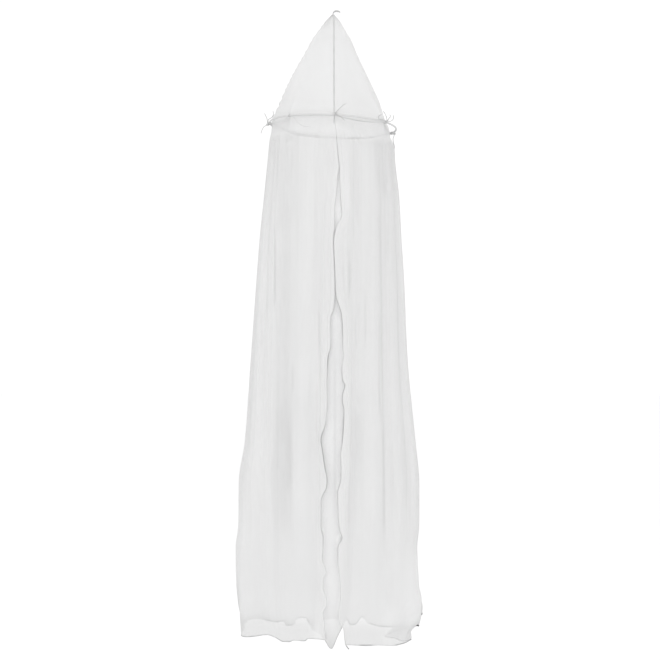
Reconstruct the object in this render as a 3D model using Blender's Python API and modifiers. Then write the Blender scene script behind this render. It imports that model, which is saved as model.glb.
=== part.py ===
"""Mosquito net canopy with its hoop, hung by a loop at its tip.

A netting cone falls from a gathered tip to a waist seam. Seven ties hold the seam inside a round
hoop. A long netting skirt hangs from the seam, with an opening down its front and a narrow
underlap behind the opening. Metres, +Z up, front towards -Y. The origin is the crown of the
hanging loop, where a hook carries the canopy.

A "turn" is an angle round the upright axis in degrees: 0 is the front, 90 the left side,
180 the back and 270 the right side. A "drop" is a distance below the crown. A "fall" runs
from 0 at the upper edge of a cloth to 1 at its lower edge.
"""

import math
from collections import namedtuple

import bmesh
import bpy
import numpy as np
from mathutils import Matrix, Vector

# ------------------------------------------------------------------------------ driving sizes
COLLECTION = "Mosquito net canopy"
AXIS_X = -0.012          # the upright axis hangs a little left of the crown
CLOTH = 0.0012           # thickness of the netting's solids
GAP = 0.0003             # left between pieces that touch
SEAM_GAP = 0.0007        # between the cone's lower edge and the skirt's upper edge

HOOP_DROP = 0.4605       # crown to the middle of the hoop
HOOP_RADIUS = 0.250
HOOP_TUBE = 0.0035       # radius of the rod
HOOP_POINTS = 73
HOOP_ROLL = math.radians(3.0)    # the hoop hangs lower on the right
HOOP_PITCH = math.radians(0.35)  # and a little lower at the front
JOIN_TURN = 190.0        # where the rod's ends meet
JOIN_GAP = 0.25          # half the gap between the ends, in degrees
SLEEVE_TURN = 6.4        # half the sleeve's length, in degrees
SLEEVE_POINTS = 5
SLEEVE_OUTER = 0.0060
SLEEVE_WALL = 0.0018

WRAP_RADIUS = 0.0053     # a tie's turn round the rod
TIE_CORD = 0.0012        # radius of the tie cord
END_STEPS = 3            # points of a free end's tube for each point of its route
WAIST_INSET = WRAP_RADIUS + TIE_CORD + 0.0005 + CLOTH / 2
WAIST_RADIUS = HOOP_RADIUS - WAIST_INSET

LOOP_CORD = 0.0020       # radius of the hanging loop's cord
LOOP_STEPS = 2
TIP_DROP = 0.018
TIP_RADIUS = 0.0055
CONE_ROUND = 0.7         # the cone is round down to this fall, then takes the waist's corners
GATHERS = 9              # pleats pressed together under the tip
GATHER_DEPTH = 0.0025
CONE_LEAN = 0.009        # the cone's lower half swells to the left

HEM_DROP = 2.450
FLARE = 0.035            # share of the fall over which the waist rounds out

# Ties: where each holds the waist, and how far the seam sags before the next one.
Tie = namedtuple("Tie", "name turn sag")
TIES = (
    Tie("center", -1.0, 0.001),
    Tie("front_left", 42.0, 0.003),
    Tie("left", 90.0, 0.005),
    Tie("back_left", 146.0, 0.005),
    Tie("back_right", 204.0, 0.005),
    Tie("right_back", 252.0, 0.008),
    Tie("right_front", 306.0, 0.008),
)

# Knots: centre from the hoop's centreline and half sizes, each outward, along the hoop and up.
Knot = namedtuple("Knot", "tie out along up half_out half_along half_up")
KNOTS = (
    Knot("center", 0.0080, -0.0037, 0.0030, 0.0040, 0.0080, 0.0055),
    Knot("front_left", 0.0070, 0.0030, -0.0050, 0.0042, 0.0075, 0.0042),
    Knot("left", 0.0090, -0.0020, -0.0060, 0.0060, 0.0035, 0.0050),
    Knot("back_left", 0.0060, 0.0000, -0.0060, 0.0035, 0.0100, 0.0035),
    Knot("back_right", 0.0060, 0.0000, -0.0050, 0.0035, 0.0100, 0.0035),
    Knot("right_back", 0.0110, 0.0000, -0.0010, 0.0055, 0.0045, 0.0045),
    Knot("right_front", 0.0080, 0.0030, 0.0030, 0.0040, 0.0070, 0.0045),
)

# Free ends of the ties: hand-laid routes, x measured from the upright axis. Each starts at its knot.
TIE_ENDS = {
    "left_end_up": ("left", ((-0.262, -0.006, -0.430), (-0.271, -0.013, -0.411))),
    "left_end_inner": ("left", ((-0.2555, -0.015, -0.436), (-0.247, -0.026, -0.433),
                                (-0.238, -0.032, -0.427), (-0.235, -0.032, -0.416),
                                (-0.237, -0.028, -0.403))),
    "left_end_tail": ("left", ((-0.274, -0.004, -0.462), (-0.281, -0.004, -0.474),
                               (-0.286, -0.003, -0.488))),
    "center_end_curl": ("center", ((0.020, -0.262, -0.446), (0.030, -0.262, -0.437),
                                   (0.037, -0.258, -0.428), (0.048, -0.252, -0.423))),
    "center_end_right": ("center", ((0.022, -0.264, -0.470), (0.032, -0.265, -0.477),
                                    (0.043, -0.262, -0.487))),
    "center_end_down": ("center", ((0.004, -0.264, -0.476), (0.003, -0.264, -0.486),
                                   (0.003, -0.261, -0.497))),
    "right_front_end_up": ("right_front", ((0.203, -0.161, -0.452), (0.198, -0.156, -0.440),
                                           (0.193, -0.150, -0.430))),
    "right_front_end_hook": ("right_front", ((0.219, -0.158, -0.470), (0.228, -0.154, -0.464),
                                             (0.231, -0.152, -0.455), (0.232, -0.152, -0.446))),
    "right_front_end_short": ("right_front", ((0.213, -0.168, -0.461), (0.218, -0.175, -0.455),
                                              (0.216, -0.172, -0.447))),
    "right_front_end_left": ("right_front", ((0.184, -0.176, -0.467), (0.172, -0.193, -0.466),
                                             (0.173, -0.198, -0.458), (0.184, -0.191, -0.451))),
    "right_back_end_tail": ("right_back", ((0.247, 0.082, -0.484), (0.243, 0.081, -0.495),
                                           (0.245, 0.081, -0.508), (0.250, 0.082, -0.532))),
}
INNER_TAIL = ((-0.1527, -0.1813, -0.4545), (-0.140, -0.183, -0.471), (-0.127, -0.185, -0.486),
              (-0.108, -0.190, -0.496), (-0.090, -0.197, -0.496))

# Hanging loop: one side of the loop from inside the tip to its far end, x from the crown.
LOOP_SIDE = ((AXIS_X, 0.0023, -0.034), (AXIS_X, 0.0023, -0.014), (-0.0095, 0.0036, -0.007),
             (-0.0040, 0.0052, -0.003), (0.0030, 0.0060, -0.002), (0.0110, 0.0044, -0.004))
LOOP_END = (0.0160, 0.0, -0.006)

# Cone: share of the waist's reach at each fall.
CONE_SPREAD = ((0.0, TIP_RADIUS / WAIST_RADIUS), (0.06, 0.115), (0.117, 0.185), (0.225, 0.318),
               (0.334, 0.412), (0.55, 0.617), (0.766, 0.805), (0.875, 0.905), (0.95, 0.98), (1.0, 1.0))
CONE_FALLS = (0.0, 0.06, 0.117, 0.20, 0.33, 0.50, 0.68, 0.84, 0.93, 1.0)
CONE_STEPS = 7           # columns from one tie to the next

# Skirt: reach from the axis and corner radius at each drop; splay turns the right side outward
# towards the back.
Section = namedtuple("Section", "drop left right front back corner splay")
SECTIONS = (
    Section(0.46, 0.246, 0.240, 0.243, 0.243, 0.238, 0.00),
    Section(0.59, 0.258, 0.246, 0.236, 0.236, 0.230, 0.00),
    Section(0.75, 0.274, 0.264, 0.226, 0.226, 0.215, 0.00),
    Section(0.91, 0.290, 0.272, 0.215, 0.215, 0.200, 0.00),
    Section(1.07, 0.302, 0.282, 0.205, 0.205, 0.185, 0.00),
    Section(1.39, 0.324, 0.297, 0.188, 0.188, 0.160, 0.00),
    Section(1.70, 0.345, 0.326, 0.174, 0.172, 0.130, 0.00),
    Section(1.86, 0.368, 0.340, 0.168, 0.165, 0.115, 0.00),
    Section(2.02, 0.369, 0.340, 0.162, 0.158, 0.100, 0.00),
    Section(2.12, 0.380, 0.331, 0.158, 0.155, 0.090, 0.00),
    Section(2.26, 0.378, 0.336, 0.154, 0.152, 0.075, 0.00),
    Section(2.34, 0.372, 0.352, 0.152, 0.150, 0.060, 0.03),
    Section(2.40, 0.363, 0.350, 0.151, 0.150, 0.045, 0.06),
    Section(2.46, 0.358, 0.333, 0.150, 0.150, 0.035, 0.12),
)

# Opening: its two edges, x from the axis, at each drop.
Edge = namedtuple("Edge", "drop left right")
OPENING = (
    Edge(0.455, 0.004, 0.007),
    Edge(0.518, 0.009, 0.013),
    Edge(0.647, 0.020, 0.025),
    Edge(0.721, 0.013, 0.027),
    Edge(0.822, 0.004, 0.033),
    Edge(0.915, -0.002, 0.003),
    Edge(1.097, 0.005, 0.010),
    Edge(1.196, 0.000, 0.032),
    Edge(1.325, -0.010, 0.038),
    Edge(1.440, -0.023, 0.036),
    Edge(1.554, -0.025, 0.042),
    Edge(1.684, -0.046, 0.034),
    Edge(1.822, -0.023, 0.030),
    Edge(1.918, -0.046, 0.019),
    Edge(2.040, -0.040, 0.036),
    Edge(2.117, -0.042, 0.019),
    Edge(2.194, -0.027, 0.027),
    Edge(2.263, -0.038, 0.031),
    Edge(2.347, -0.042, 0.023),
    Edge(2.390, -0.037, 0.041),
    Edge(2.470, -0.031, 0.054),
)

# Folds of the skirt, in order from the left edge of the opening round to its right edge. Each
# row is a valley: its turn at the waist and at the hem, its depth at the falls in DEPTH_FALLS,
# how narrow it is, how far its valley leans along the cloth, and how far its hem is lifted.
Fold = namedtuple("Fold", "name top hem d1 d2 d3 d4 d5 pinch lean lift")
DEPTH_FALLS = (0.0, 0.13, 0.42, 0.70, 0.88, 1.0)
FOLDS = (
    Fold("left_inner", 13, 10, 0.003, 0.007, 0.006, 0.002, 0.001, 2.0, 0.0, -0.009),
    Fold("left_broad", 45, 33, 0.012, 0.014, 0.024, 0.010, 0.004, 1.2, 0.0, -0.012),
    Fold("left_outer", 66, 48, 0.006, 0.011, 0.008, 0.006, 0.003, 1.8, 0.0, 0.012),
    Fold("left_corner", 82, 68, 0.003, 0.006, 0.004, 0.002, 0.002, 2.0, 0.0, -0.006),
    Fold("left_side", 97, 88, 0.006, 0.010, 0.014, 0.012, 0.008, 1.2, 0.0, 0.000),
    Fold("back_left_far", 117, 112, 0.012, 0.018, 0.020, 0.016, 0.010, 1.0, 0.0, 0.002),
    Fold("back_left", 142, 138, 0.012, 0.020, 0.018, 0.014, 0.012, 1.0, 0.0, -0.004),
    Fold("back_inner_left", 166, 165, 0.010, 0.016, 0.022, 0.018, 0.014, 1.3, 0.0, 0.003),
    Fold("back_inner_right", 188, 191, 0.012, 0.018, 0.016, 0.016, 0.020, 1.0, 0.0, -0.002),
    Fold("back_right", 212, 215, 0.012, 0.020, 0.020, 0.014, 0.010, 1.2, 0.0, 0.002),
    Fold("back_right_far", 235, 239, 0.010, 0.016, 0.018, 0.014, 0.008, 1.0, 0.0, 0.000),
    Fold("right_side", 257, 255, 0.006, 0.010, 0.012, 0.010, 0.008, 1.2, 0.0, 0.000),
    Fold("right_pleat", 274, 279, 0.005, 0.008, 0.010, 0.022, 0.125, 1.0, 0.42, 0.002),
    Fold("right_outer", 290, 306, 0.010, 0.012, 0.010, 0.004, 0.002, 1.5, 0.0, -0.024),
    Fold("right_main", 310, 322, 0.016, 0.016, 0.018, 0.006, 0.003, 1.5, 0.0, -0.030),
    Fold("right_inner", 338, 347, 0.012, 0.009, 0.014, 0.004, 0.002, 1.3, 0.0, -0.022),
)
LEFT_EDGE_LIFT = -0.005
RIGHT_EDGE_LIFT = -0.030
SKIRT_FALLS = (0.0, 0.016, 0.045, 0.10, 0.18, 0.235, 0.31, 0.37, 0.435, 0.495, 0.55, 0.615, 0.685,
               0.735, 0.80, 0.87, 0.935, 1.0)
FOLD_STEPS = (0.0, 0.13, 0.29, 0.5, 0.71, 0.87)    # columns from one valley to the next

# Underlap: its two borders, x from the axis, and how far it hangs behind the skirt's front.
Lap = namedtuple("Lap", "drop left right behind")
UNDERLAP = (
    Lap(0.455, -0.041, 0.049, 0.0021),
    Lap(0.500, -0.048, 0.050, 0.0045),
    Lap(0.650, -0.060, 0.064, 0.0110),
    Lap(1.000, -0.075, 0.080, 0.0170),
    Lap(1.600, -0.085, 0.088, 0.0190),
    Lap(2.100, -0.088, 0.080, 0.0150),
    Lap(2.300, -0.086, 0.062, 0.0110),
    Lap(2.500, -0.080, 0.036, 0.0090),
)
# Its lower outline: drop at each share of the width from left to right.
UNDERLAP_HEM = ((0.0, 2.415), (0.3, 2.440), (0.63, 2.491), (0.8, 2.440), (1.0, 2.375))
UNDERLAP_FALLS = (0.0, 0.016, 0.045, 0.09, 0.18, 0.28, 0.38, 0.48, 0.58, 0.68, 0.78, 0.88, 0.95, 1.0)
UNDERLAP_COLUMNS = 9
UNDERLAP_FOLD = 0.010    # height of the soft fold down its middle


# ------------------------------------------------------------------------------ small helpers
def smooth(places, values, at):
    """Values at the places `at`, on a cubic curve through the rows that never overshoots them."""
    places = np.asarray(places, float)
    values = np.asarray(values, float)
    at = np.clip(np.asarray(at, float), places[0], places[-1])
    step = np.diff(places)
    slope = np.diff(values) / step
    level = np.zeros(len(places))
    level[0] = slope[0]
    level[-1] = slope[-1]
    same_way = slope[:-1] * slope[1:] > 0
    steep = np.where(same_way, slope[:-1] + slope[1:], 1.0)
    level[1:-1] = np.where(same_way, 2 * slope[:-1] * slope[1:] / steep, 0.0)
    i = np.clip(np.searchsorted(places, at, side="right") - 1, 0, len(step) - 1)
    t = (at - places[i]) / step[i]
    start = (1 + 2 * t) * (1 - t) ** 2 * values[i] + t * (1 - t) ** 2 * step[i] * level[i]
    end = t * t * (3 - 2 * t) * values[i + 1] + t * t * (t - 1) * step[i] * level[i + 1]
    return start + end


def ease(share):
    """A soft step from 0 to 1."""
    share = np.clip(share, 0.0, 1.0)
    return share * share * (3 - 2 * share)


def column(rows, name, places, at):
    """One named column of a table at the places `at`."""
    return smooth([getattr(row, places) for row in rows], [getattr(row, name) for row in rows], at)


def hoop_level(x, y):
    """Height of the hoop's plane."""
    return -HOOP_DROP - (x - AXIS_X) * math.tan(HOOP_ROLL) + y * math.tan(HOOP_PITCH)


def hoop_point(turn):
    """Point on the middle of the rod."""
    x = AXIS_X - HOOP_RADIUS * math.sin(math.radians(turn))
    y = -HOOP_RADIUS * math.cos(math.radians(turn))
    return Vector((x, y, hoop_level(x, y)))


def hoop_frame(turn):
    """Outward, along and up directions of the hoop as the columns of a matrix."""
    angle = math.radians(turn)
    outward = Vector((-math.sin(angle), -math.cos(angle), 0.0))
    along = Vector((-math.cos(angle), math.sin(angle), 0.0))
    return Matrix((outward, along, (0.0, 0.0, 1.0))).transposed()


def waist(turn):
    """Points of the waist seam: nearly straight from tie to tie, and sagging between them."""
    turns = [tie.turn for tie in TIES]
    sags = [tie.sag for tie in TIES]
    turns = np.array([turns[-1] - 360.0] + turns + [turns[0] + 360.0])
    sags = np.array([sags[-1]] + sags)
    held = np.radians(turns)
    share = np.interp(turn, turns, np.arange(len(turns)))
    span = np.clip(share.astype(int), 0, len(sags) - 1)
    within = share - span
    x = AXIS_X - WAIST_RADIUS * np.interp(share, np.arange(len(turns)), np.sin(held))
    y = -WAIST_RADIUS * np.interp(share, np.arange(len(turns)), np.cos(held))
    z = hoop_level(x, y) - 4 * sags[span] * within * (1 - within)
    return np.stack([x, y, z], axis=-1)


def section_at(drop):
    """The skirt's section at each drop, as a Section of arrays."""
    values = [column(SECTIONS, name, "drop", drop) for name in Section._fields[1:]]
    return Section(drop, *values)


def quarter_length(side, depth, corner):
    """Length of a quarter of a rounded rectangle's outline."""
    return (side - corner) + corner * math.pi / 2 + (depth - corner)


def plan(section, turn):
    """Points and outward directions at `turn` on the section's rounded rectangle."""
    turn = np.asarray(turn, float)
    left = (turn >= 0) & (turn < 180)
    front = (turn < 90) | (turn >= 270)
    side = np.where(left, section.left, section.right)
    depth = np.where(front, section.front, section.back)
    quarter = np.mod(turn, 90.0) / 90.0
    from_middle = np.where(left == front, quarter, 1 - quarter)
    run = from_middle * quarter_length(side, depth, section.corner)
    flat = side - section.corner
    bend = np.clip((run - flat) / section.corner, 0.0, math.pi / 2)
    arc = section.corner * math.pi / 2
    x = np.minimum(run, flat) + section.corner * np.sin(bend)
    y = depth - section.corner + section.corner * np.cos(bend) - np.maximum(run - flat - arc, 0.0)
    way_x = np.where(left, -1.0, 1.0)
    way_y = np.where(front, -1.0, 1.0)
    splay = np.where(left, 0.0, section.splay) * x / side * way_y * y / depth
    points = np.stack([AXIS_X + way_x * x * (1 + splay), way_y * y], axis=-1)
    outward = np.stack([way_x * np.sin(bend), way_y * np.cos(bend)], axis=-1)
    return points, outward


def front_turn(x, section):
    """Turn of a point of the front at distance x right of the axis, between -90 and 90."""
    side = np.where(x < 0, section.left, section.right)
    return -90.0 * x / quarter_length(side, section.front, section.corner)


# ------------------------------------------------------------------------------ cloth surfaces
def skirt_columns():
    """Places of the skirt's columns, counted in folds: 0 is the left edge of the opening."""
    places = [fold + step for fold in range(len(FOLDS) + 1) for step in FOLD_STEPS]
    return np.array(places + [len(FOLDS) + 1.0])


def skirt_row(place, fall):
    """One row of points round the skirt, at a fall between the waist and the hem."""
    folds = np.arange(len(FOLDS) + 2)
    lifts = [LEFT_EDGE_LIFT] + [fold.lift for fold in FOLDS] + [RIGHT_EDGE_LIFT]
    edge_drop = HOOP_DROP + (HEM_DROP - HOOP_DROP) * fall
    edge_section = section_at(edge_drop)
    left_edge = front_turn(column(OPENING, "left", "drop", edge_drop), edge_section)
    right_edge = 360 + front_turn(column(OPENING, "right", "drop", edge_drop), edge_section)
    valleys = [fold.top + (fold.hem - fold.top) * fall for fold in FOLDS]
    turn = smooth(folds, [left_edge] + valleys + [right_edge], place)
    tops = [left_at_waist()] + [fold.top for fold in FOLDS] + [right_at_waist()]
    seam = waist(smooth(folds, tops, place))
    seam[:, 2] -= SEAM_GAP
    hem = -HEM_DROP + smooth(folds, lifts, place)
    z = seam[:, 2] + (hem - seam[:, 2]) * fall
    base, outward = plan(section_at(-z), turn)
    along = np.stack([outward[:, 1], -outward[:, 0]], axis=-1)
    push = np.zeros_like(base)
    for number, fold in enumerate(FOLDS, start=1):
        depth = smooth(DEPTH_FALLS, (0.0, fold.d1, fold.d2, fold.d3, fold.d4, fold.d5), fall)
        reach = np.clip(np.abs(place - number), 0.0, 0.5)
        bell = (np.cos(math.pi * reach) ** (2 * fold.pinch))[:, None]
        push += depth * bell * (fold.lean * along - outward)
    folded = base + push
    rounded = seam[:, :2] + (folded - seam[:, :2]) * ease(fall / FLARE)
    return np.column_stack([rounded, z])


def left_at_waist():
    """Turn of the opening's left edge at the waist."""
    return float(front_turn(OPENING[0].left, section_at(OPENING[0].drop)))


def right_at_waist():
    """Turn of the opening's right edge at the waist."""
    return 360 + float(front_turn(OPENING[0].right, section_at(OPENING[0].drop)))


def cone_row(turn, fall):
    """One ring of the cone, at a fall between the tip and the waist seam."""
    seam = waist(turn)
    angle = np.radians(turn)
    ring = -WAIST_RADIUS * np.column_stack([np.sin(angle), np.cos(angle)])
    corners = ease((fall - CONE_ROUND) / (1 - CONE_ROUND))
    spread = smooth(*zip(*CONE_SPREAD), fall)
    ripple = GATHER_DEPTH * np.sin(np.radians(GATHERS * turn)) * ease(fall / 0.05) * (1 - ease(fall / 0.2))
    reach = (ring + (seam[:, :2] - (AXIS_X, 0.0) - ring) * corners) * spread
    reach += reach / np.linalg.norm(reach, axis=1, keepdims=True) * ripple[:, None]
    x = AXIS_X + reach[:, 0] - CONE_LEAN * math.sin(math.pi * fall ** 1.3)
    z = -TIP_DROP + (seam[:, 2] + TIP_DROP) * fall
    return np.column_stack([x, reach[:, 1], z])


def underlap_row(share, fall):
    """One row of the underlap from its left to its right border."""
    hem = smooth(*zip(*UNDERLAP_HEM), share)
    drop = HOOP_DROP + (hem - HOOP_DROP) * fall
    left = column(UNDERLAP, "left", "drop", drop)
    right = column(UNDERLAP, "right", "drop", drop)
    behind = column(UNDERLAP, "behind", "drop", drop)
    x = left + (right - left) * share
    section = section_at(drop)
    turn = front_turn(x, section)
    base, outward = plan(section, np.mod(turn, 360.0))
    seam = waist(turn)
    z = seam[:, 2] - SEAM_GAP + (-hem - seam[:, 2] + SEAM_GAP) * fall
    fold = UNDERLAP_FOLD * np.sin(math.pi * share) ** 2 * math.sin(math.pi * fall)
    rounded = seam[:, :2] + (base - seam[:, :2]) * ease(fall / FLARE)
    return np.column_stack([rounded - outward * (behind + fold)[:, None], z])


# ------------------------------------------------------------------------------ building tools
def make_collection(name):
    """A new collection in the scene."""
    collection = bpy.data.collections.new(name)
    bpy.context.scene.collection.children.link(collection)
    return collection


def material(name, color, roughness):
    """A plain non-metallic material."""
    surface = bpy.data.materials.new(name)
    surface.use_nodes = True
    shader = surface.node_tree.nodes["Principled BSDF"]
    shader.inputs["Base Color"].default_value = (*color, 1.0)
    shader.inputs["Roughness"].default_value = roughness
    shader.inputs["Metallic"].default_value = 0.0
    surface.diffuse_color = (*color, 1.0)
    return surface


def cloth(name, rows, closed, surface):
    """A sheet of netting: a lofted grid of rows, thickened evenly to both sides."""
    rows = np.array(rows)
    levels, columns = rows.shape[:2]
    wrap = columns if closed else columns - 1
    faces = []
    for level in range(levels - 1):
        for place in range(wrap):
            beside = (place + 1) % columns
            upper = level * columns
            lower = upper + columns
            faces.append((upper + place, lower + place, lower + beside, upper + beside))
    mesh = bpy.data.meshes.new(name)
    mesh.from_pydata(rows.reshape(-1, 3).tolist(), [], faces)
    mesh.shade_smooth()
    sheet = bpy.data.objects.new(name, mesh)
    PARTS.objects.link(sheet)
    mesh.materials.append(surface)
    thickness = sheet.modifiers.new("Thickness", "SOLIDIFY")
    thickness.thickness = CLOTH
    thickness.offset = 0.0
    return sheet


def catmull(points, steps):
    """Points on a smooth curve through the hand-laid ones."""
    points = [Vector(point) for point in points]
    padded = [2 * points[0] - points[1]] + points + [2 * points[-1] - points[-2]]
    route = []
    for a, b, c, d in zip(padded, padded[1:], padded[2:], padded[3:]):
        for step in range(steps):
            t = step / steps
            route.append(0.5 * (2 * b + (c - a) * t + (2 * a - 5 * b + 4 * c - d) * t ** 2
                                + (3 * b - a - 3 * c + d) * t ** 3))
    route.append(points[-1])
    return route


def tube(name, route, radius, surface, caps=True, detail=2):
    """A round tube along a route, as a bevelled curve."""
    curve = bpy.data.curves.new(name, "CURVE")
    curve.dimensions = "3D"
    curve.bevel_depth = radius
    curve.bevel_resolution = detail
    curve.use_fill_caps = caps
    spline = curve.splines.new("POLY")
    spline.points.add(len(route) - 1)
    for point, place in zip(spline.points, route):
        point.co = (*place, 1.0)
    curve.materials.append(surface)
    made = bpy.data.objects.new(name, curve)
    PARTS.objects.link(made)
    return made


def as_mesh(curve_object):
    """The same object with its curve made into a welded mesh."""
    graph = bpy.context.evaluated_depsgraph_get()
    mesh = bpy.data.meshes.new_from_object(curve_object.evaluated_get(graph))
    shape = bmesh.new()
    shape.from_mesh(mesh)
    bmesh.ops.remove_doubles(shape, verts=shape.verts, dist=0.00001)
    shape.to_mesh(mesh)
    shape.free()
    name = curve_object.name
    made = bpy.data.objects.new(name, mesh)
    made.matrix_world = curve_object.matrix_world
    PARTS.objects.link(made)
    bpy.data.objects.remove(curve_object)
    made.name = name
    return made


# ------------------------------------------------------------------------------ the pieces
def build_cone(surface):
    """The cone netting, from the gathered tip to the waist seam."""
    turns = [tie.turn for tie in TIES] + [TIES[0].turn + 360.0]
    places = np.arange(len(TIES) * CONE_STEPS) / CONE_STEPS
    turn = np.interp(places, np.arange(len(turns)), turns)
    cloth("cone_net", [cone_row(turn, fall) for fall in CONE_FALLS], True, surface)


def build_skirt(surface):
    """The skirt netting, from the opening's left edge round the back to its right edge."""
    places = skirt_columns()
    cloth("skirt_net", [skirt_row(places, fall) for fall in SKIRT_FALLS], False, surface)


def build_underlap(surface):
    """The narrow panel behind the opening."""
    share = np.linspace(1.0, 0.0, UNDERLAP_COLUMNS)
    rows = [underlap_row(share, fall) for fall in UNDERLAP_FALLS]
    cloth("front_underlap", rows, False, surface)


def build_hoop(surface):
    """The rod bent to a ring, with its two ends just apart."""
    first = JOIN_TURN + JOIN_GAP
    last = JOIN_TURN + 360 - JOIN_GAP
    turns = np.linspace(first, last, HOOP_POINTS)
    tube("hoop", [hoop_point(turn) for turn in turns], HOOP_TUBE, surface)


def build_sleeve(surface):
    """The hollow connector over the rod's two ends."""
    turns = np.linspace(JOIN_TURN - SLEEVE_TURN, JOIN_TURN + SLEEVE_TURN, SLEEVE_POINTS)
    route = [hoop_point(turn) for turn in turns]
    sleeve = as_mesh(tube("hoop_sleeve", route, SLEEVE_OUTER, surface, caps=False))
    wall = sleeve.modifiers.new("Wall", "SOLIDIFY")
    wall.thickness = SLEEVE_WALL
    wall.offset = -1.0


def build_loop(surface):
    """The hanging loop, both of its sides sewn into the tip."""
    near = [(x, -y, z) for x, y, z in LOOP_SIDE]
    route = catmull(near + [LOOP_END] + list(reversed(LOOP_SIDE)), LOOP_STEPS)
    tube("hanging_loop", route, LOOP_CORD, surface)


def knot_center(knot, tie):
    """Middle of a tie's knot."""
    return hoop_point(tie.turn) + hoop_frame(tie.turn) @ Vector((knot.out, knot.along, knot.up))


def build_tie(knot, tie, surface):
    """A turn of cord round the rod, made one with its knot."""
    frame = hoop_frame(tie.turn)
    axis = frame @ Vector((0.0, 1.0, 0.0))
    bpy.ops.mesh.primitive_torus_add(major_radius=WRAP_RADIUS, minor_radius=TIE_CORD,
                                     major_segments=12, minor_segments=6,
                                     location=hoop_point(tie.turn),
                                     rotation=axis.to_track_quat("Z", "Y").to_euler())
    wrap = bpy.context.object
    wrap.name = f"tie_{tie.name}"
    wrap.data.materials.append(surface)
    move_to(wrap, PARTS)
    halves = Vector((knot.half_out, knot.half_along, knot.half_up))
    bpy.ops.mesh.primitive_uv_sphere_add(segments=10, ring_count=6, radius=1.0)
    lump = bpy.context.object
    lump.name = f"knot_{tie.name}"
    lump.data.transform(frame.to_4x4() @ Matrix.Diagonal((*halves, 1.0)))
    lump.location = knot_center(knot, tie)
    lump.hide_render = True
    lump.display_type = "WIRE"
    move_to(lump, CUTTERS)
    join = wrap.modifiers.new("Knot", "BOOLEAN")
    join.operation = "UNION"
    join.object = lump


def move_to(thing, collection):
    """Puts an object in one collection alone."""
    for old in list(thing.users_collection):
        old.objects.unlink(thing)
    collection.objects.link(thing)


def knot_exit(knot, tie, toward):
    """Point just outside a knot's surface, on the line from its middle towards a place."""
    center = knot_center(knot, tie)
    way = (toward - center).normalized()
    local = hoop_frame(tie.turn).transposed() @ way
    halves = (knot.half_out, knot.half_along, knot.half_up)
    reach = 1 / math.sqrt(sum((part / half) ** 2 for part, half in zip(local, halves)))
    return center + way * (reach + 2 * GAP)


def build_tie_ends(surface):
    """The free ends of the ties, each a cord from its knot."""
    ties = {tie.name: tie for tie in TIES}
    knots = {knot.tie: knot for knot in KNOTS}
    shift = Vector((AXIS_X, 0.0, 0.0))
    for name, (held_by, points) in TIE_ENDS.items():
        route = [Vector(point) + shift for point in points]
        start = knot_exit(knots[held_by], ties[held_by], route[0])
        tube(f"tie_{name}", catmull([start] + route, END_STEPS), TIE_CORD, surface)
    inner = [Vector(point) + shift for point in INNER_TAIL]
    tube("tie_front_left_end", catmull(inner, END_STEPS), TIE_CORD, surface)


def build_all():
    """Every piece, each with its own material."""
    build_cone(material("Cone netting", (0.90, 0.90, 0.90), 0.85))
    build_skirt(material("Skirt netting", (0.86, 0.86, 0.86), 0.85))
    build_underlap(material("Underlap netting", (0.88, 0.88, 0.88), 0.85))
    build_hoop(material("Hoop plastic", (0.80, 0.80, 0.80), 0.40))
    build_sleeve(material("Sleeve plastic", (0.76, 0.76, 0.76), 0.35))
    build_loop(material("Loop cord", (0.82, 0.82, 0.82), 0.80))
    cord = material("Tie cord", (0.78, 0.78, 0.78), 0.80)
    ties = {tie.name: tie for tie in TIES}
    for knot in KNOTS:
        build_tie(knot, ties[knot.tie], cord)
    build_tie_ends(cord)


for leftover in list(bpy.data.objects):
    bpy.data.objects.remove(leftover)
PARTS = make_collection(COLLECTION)
CUTTERS = make_collection("Cutters")
build_all()
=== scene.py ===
"""Mosquito net canopy with its hoop, dressed: netting, hems, seams, ties, loop and a plain studio.

The file is laid out as an add-on and runs as a script. Everything is in metres, +Z up, with the
front towards -Y and the origin at the crown of the hanging loop.

A "turn" is an angle round the upright axis in degrees: 0 is the front, 90 the left side, 180 the
back and 270 the right side. A "drop" is a distance below the crown. A "fall" runs from 0 at the
upper edge of a cloth to 1 at its lower edge. A "place" counts the skirt's folds from the left edge
of the opening round to its right edge. In the tables, x is measured from the upright axis.

The "cover" of a netting is its share of thread, and "close" is how much of the open share is shut.
A "tone" says how light the threads are: 1 is the finish's own colour, and less is darker. Most
tones here are painted light and shade.
"""

import math
from collections import namedtuple

import bpy
import numpy as np
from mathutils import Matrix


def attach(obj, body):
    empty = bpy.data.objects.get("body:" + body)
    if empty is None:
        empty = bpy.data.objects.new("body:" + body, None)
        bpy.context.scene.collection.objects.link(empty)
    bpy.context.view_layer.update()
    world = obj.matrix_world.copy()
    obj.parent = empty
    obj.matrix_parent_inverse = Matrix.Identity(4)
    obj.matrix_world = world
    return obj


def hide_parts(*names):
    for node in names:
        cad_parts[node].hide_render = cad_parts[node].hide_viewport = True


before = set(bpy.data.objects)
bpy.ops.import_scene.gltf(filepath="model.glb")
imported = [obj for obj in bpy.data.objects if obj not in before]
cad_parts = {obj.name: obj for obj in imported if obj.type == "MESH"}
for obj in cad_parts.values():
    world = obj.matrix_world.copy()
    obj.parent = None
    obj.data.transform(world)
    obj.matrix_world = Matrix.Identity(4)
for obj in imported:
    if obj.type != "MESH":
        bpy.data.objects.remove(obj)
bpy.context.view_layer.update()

bl_info = {
    "name": "Mosquito Net Canopy",
    "version": (1, 0, 0),
    "blender": (4, 5, 0),
    "location": "3D View > Sidebar > Net Canopy",
    "description": "Builds a hoop canopy of sheer netting, piece by piece, in a plain studio",
    "category": "Add Mesh",
}

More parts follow.
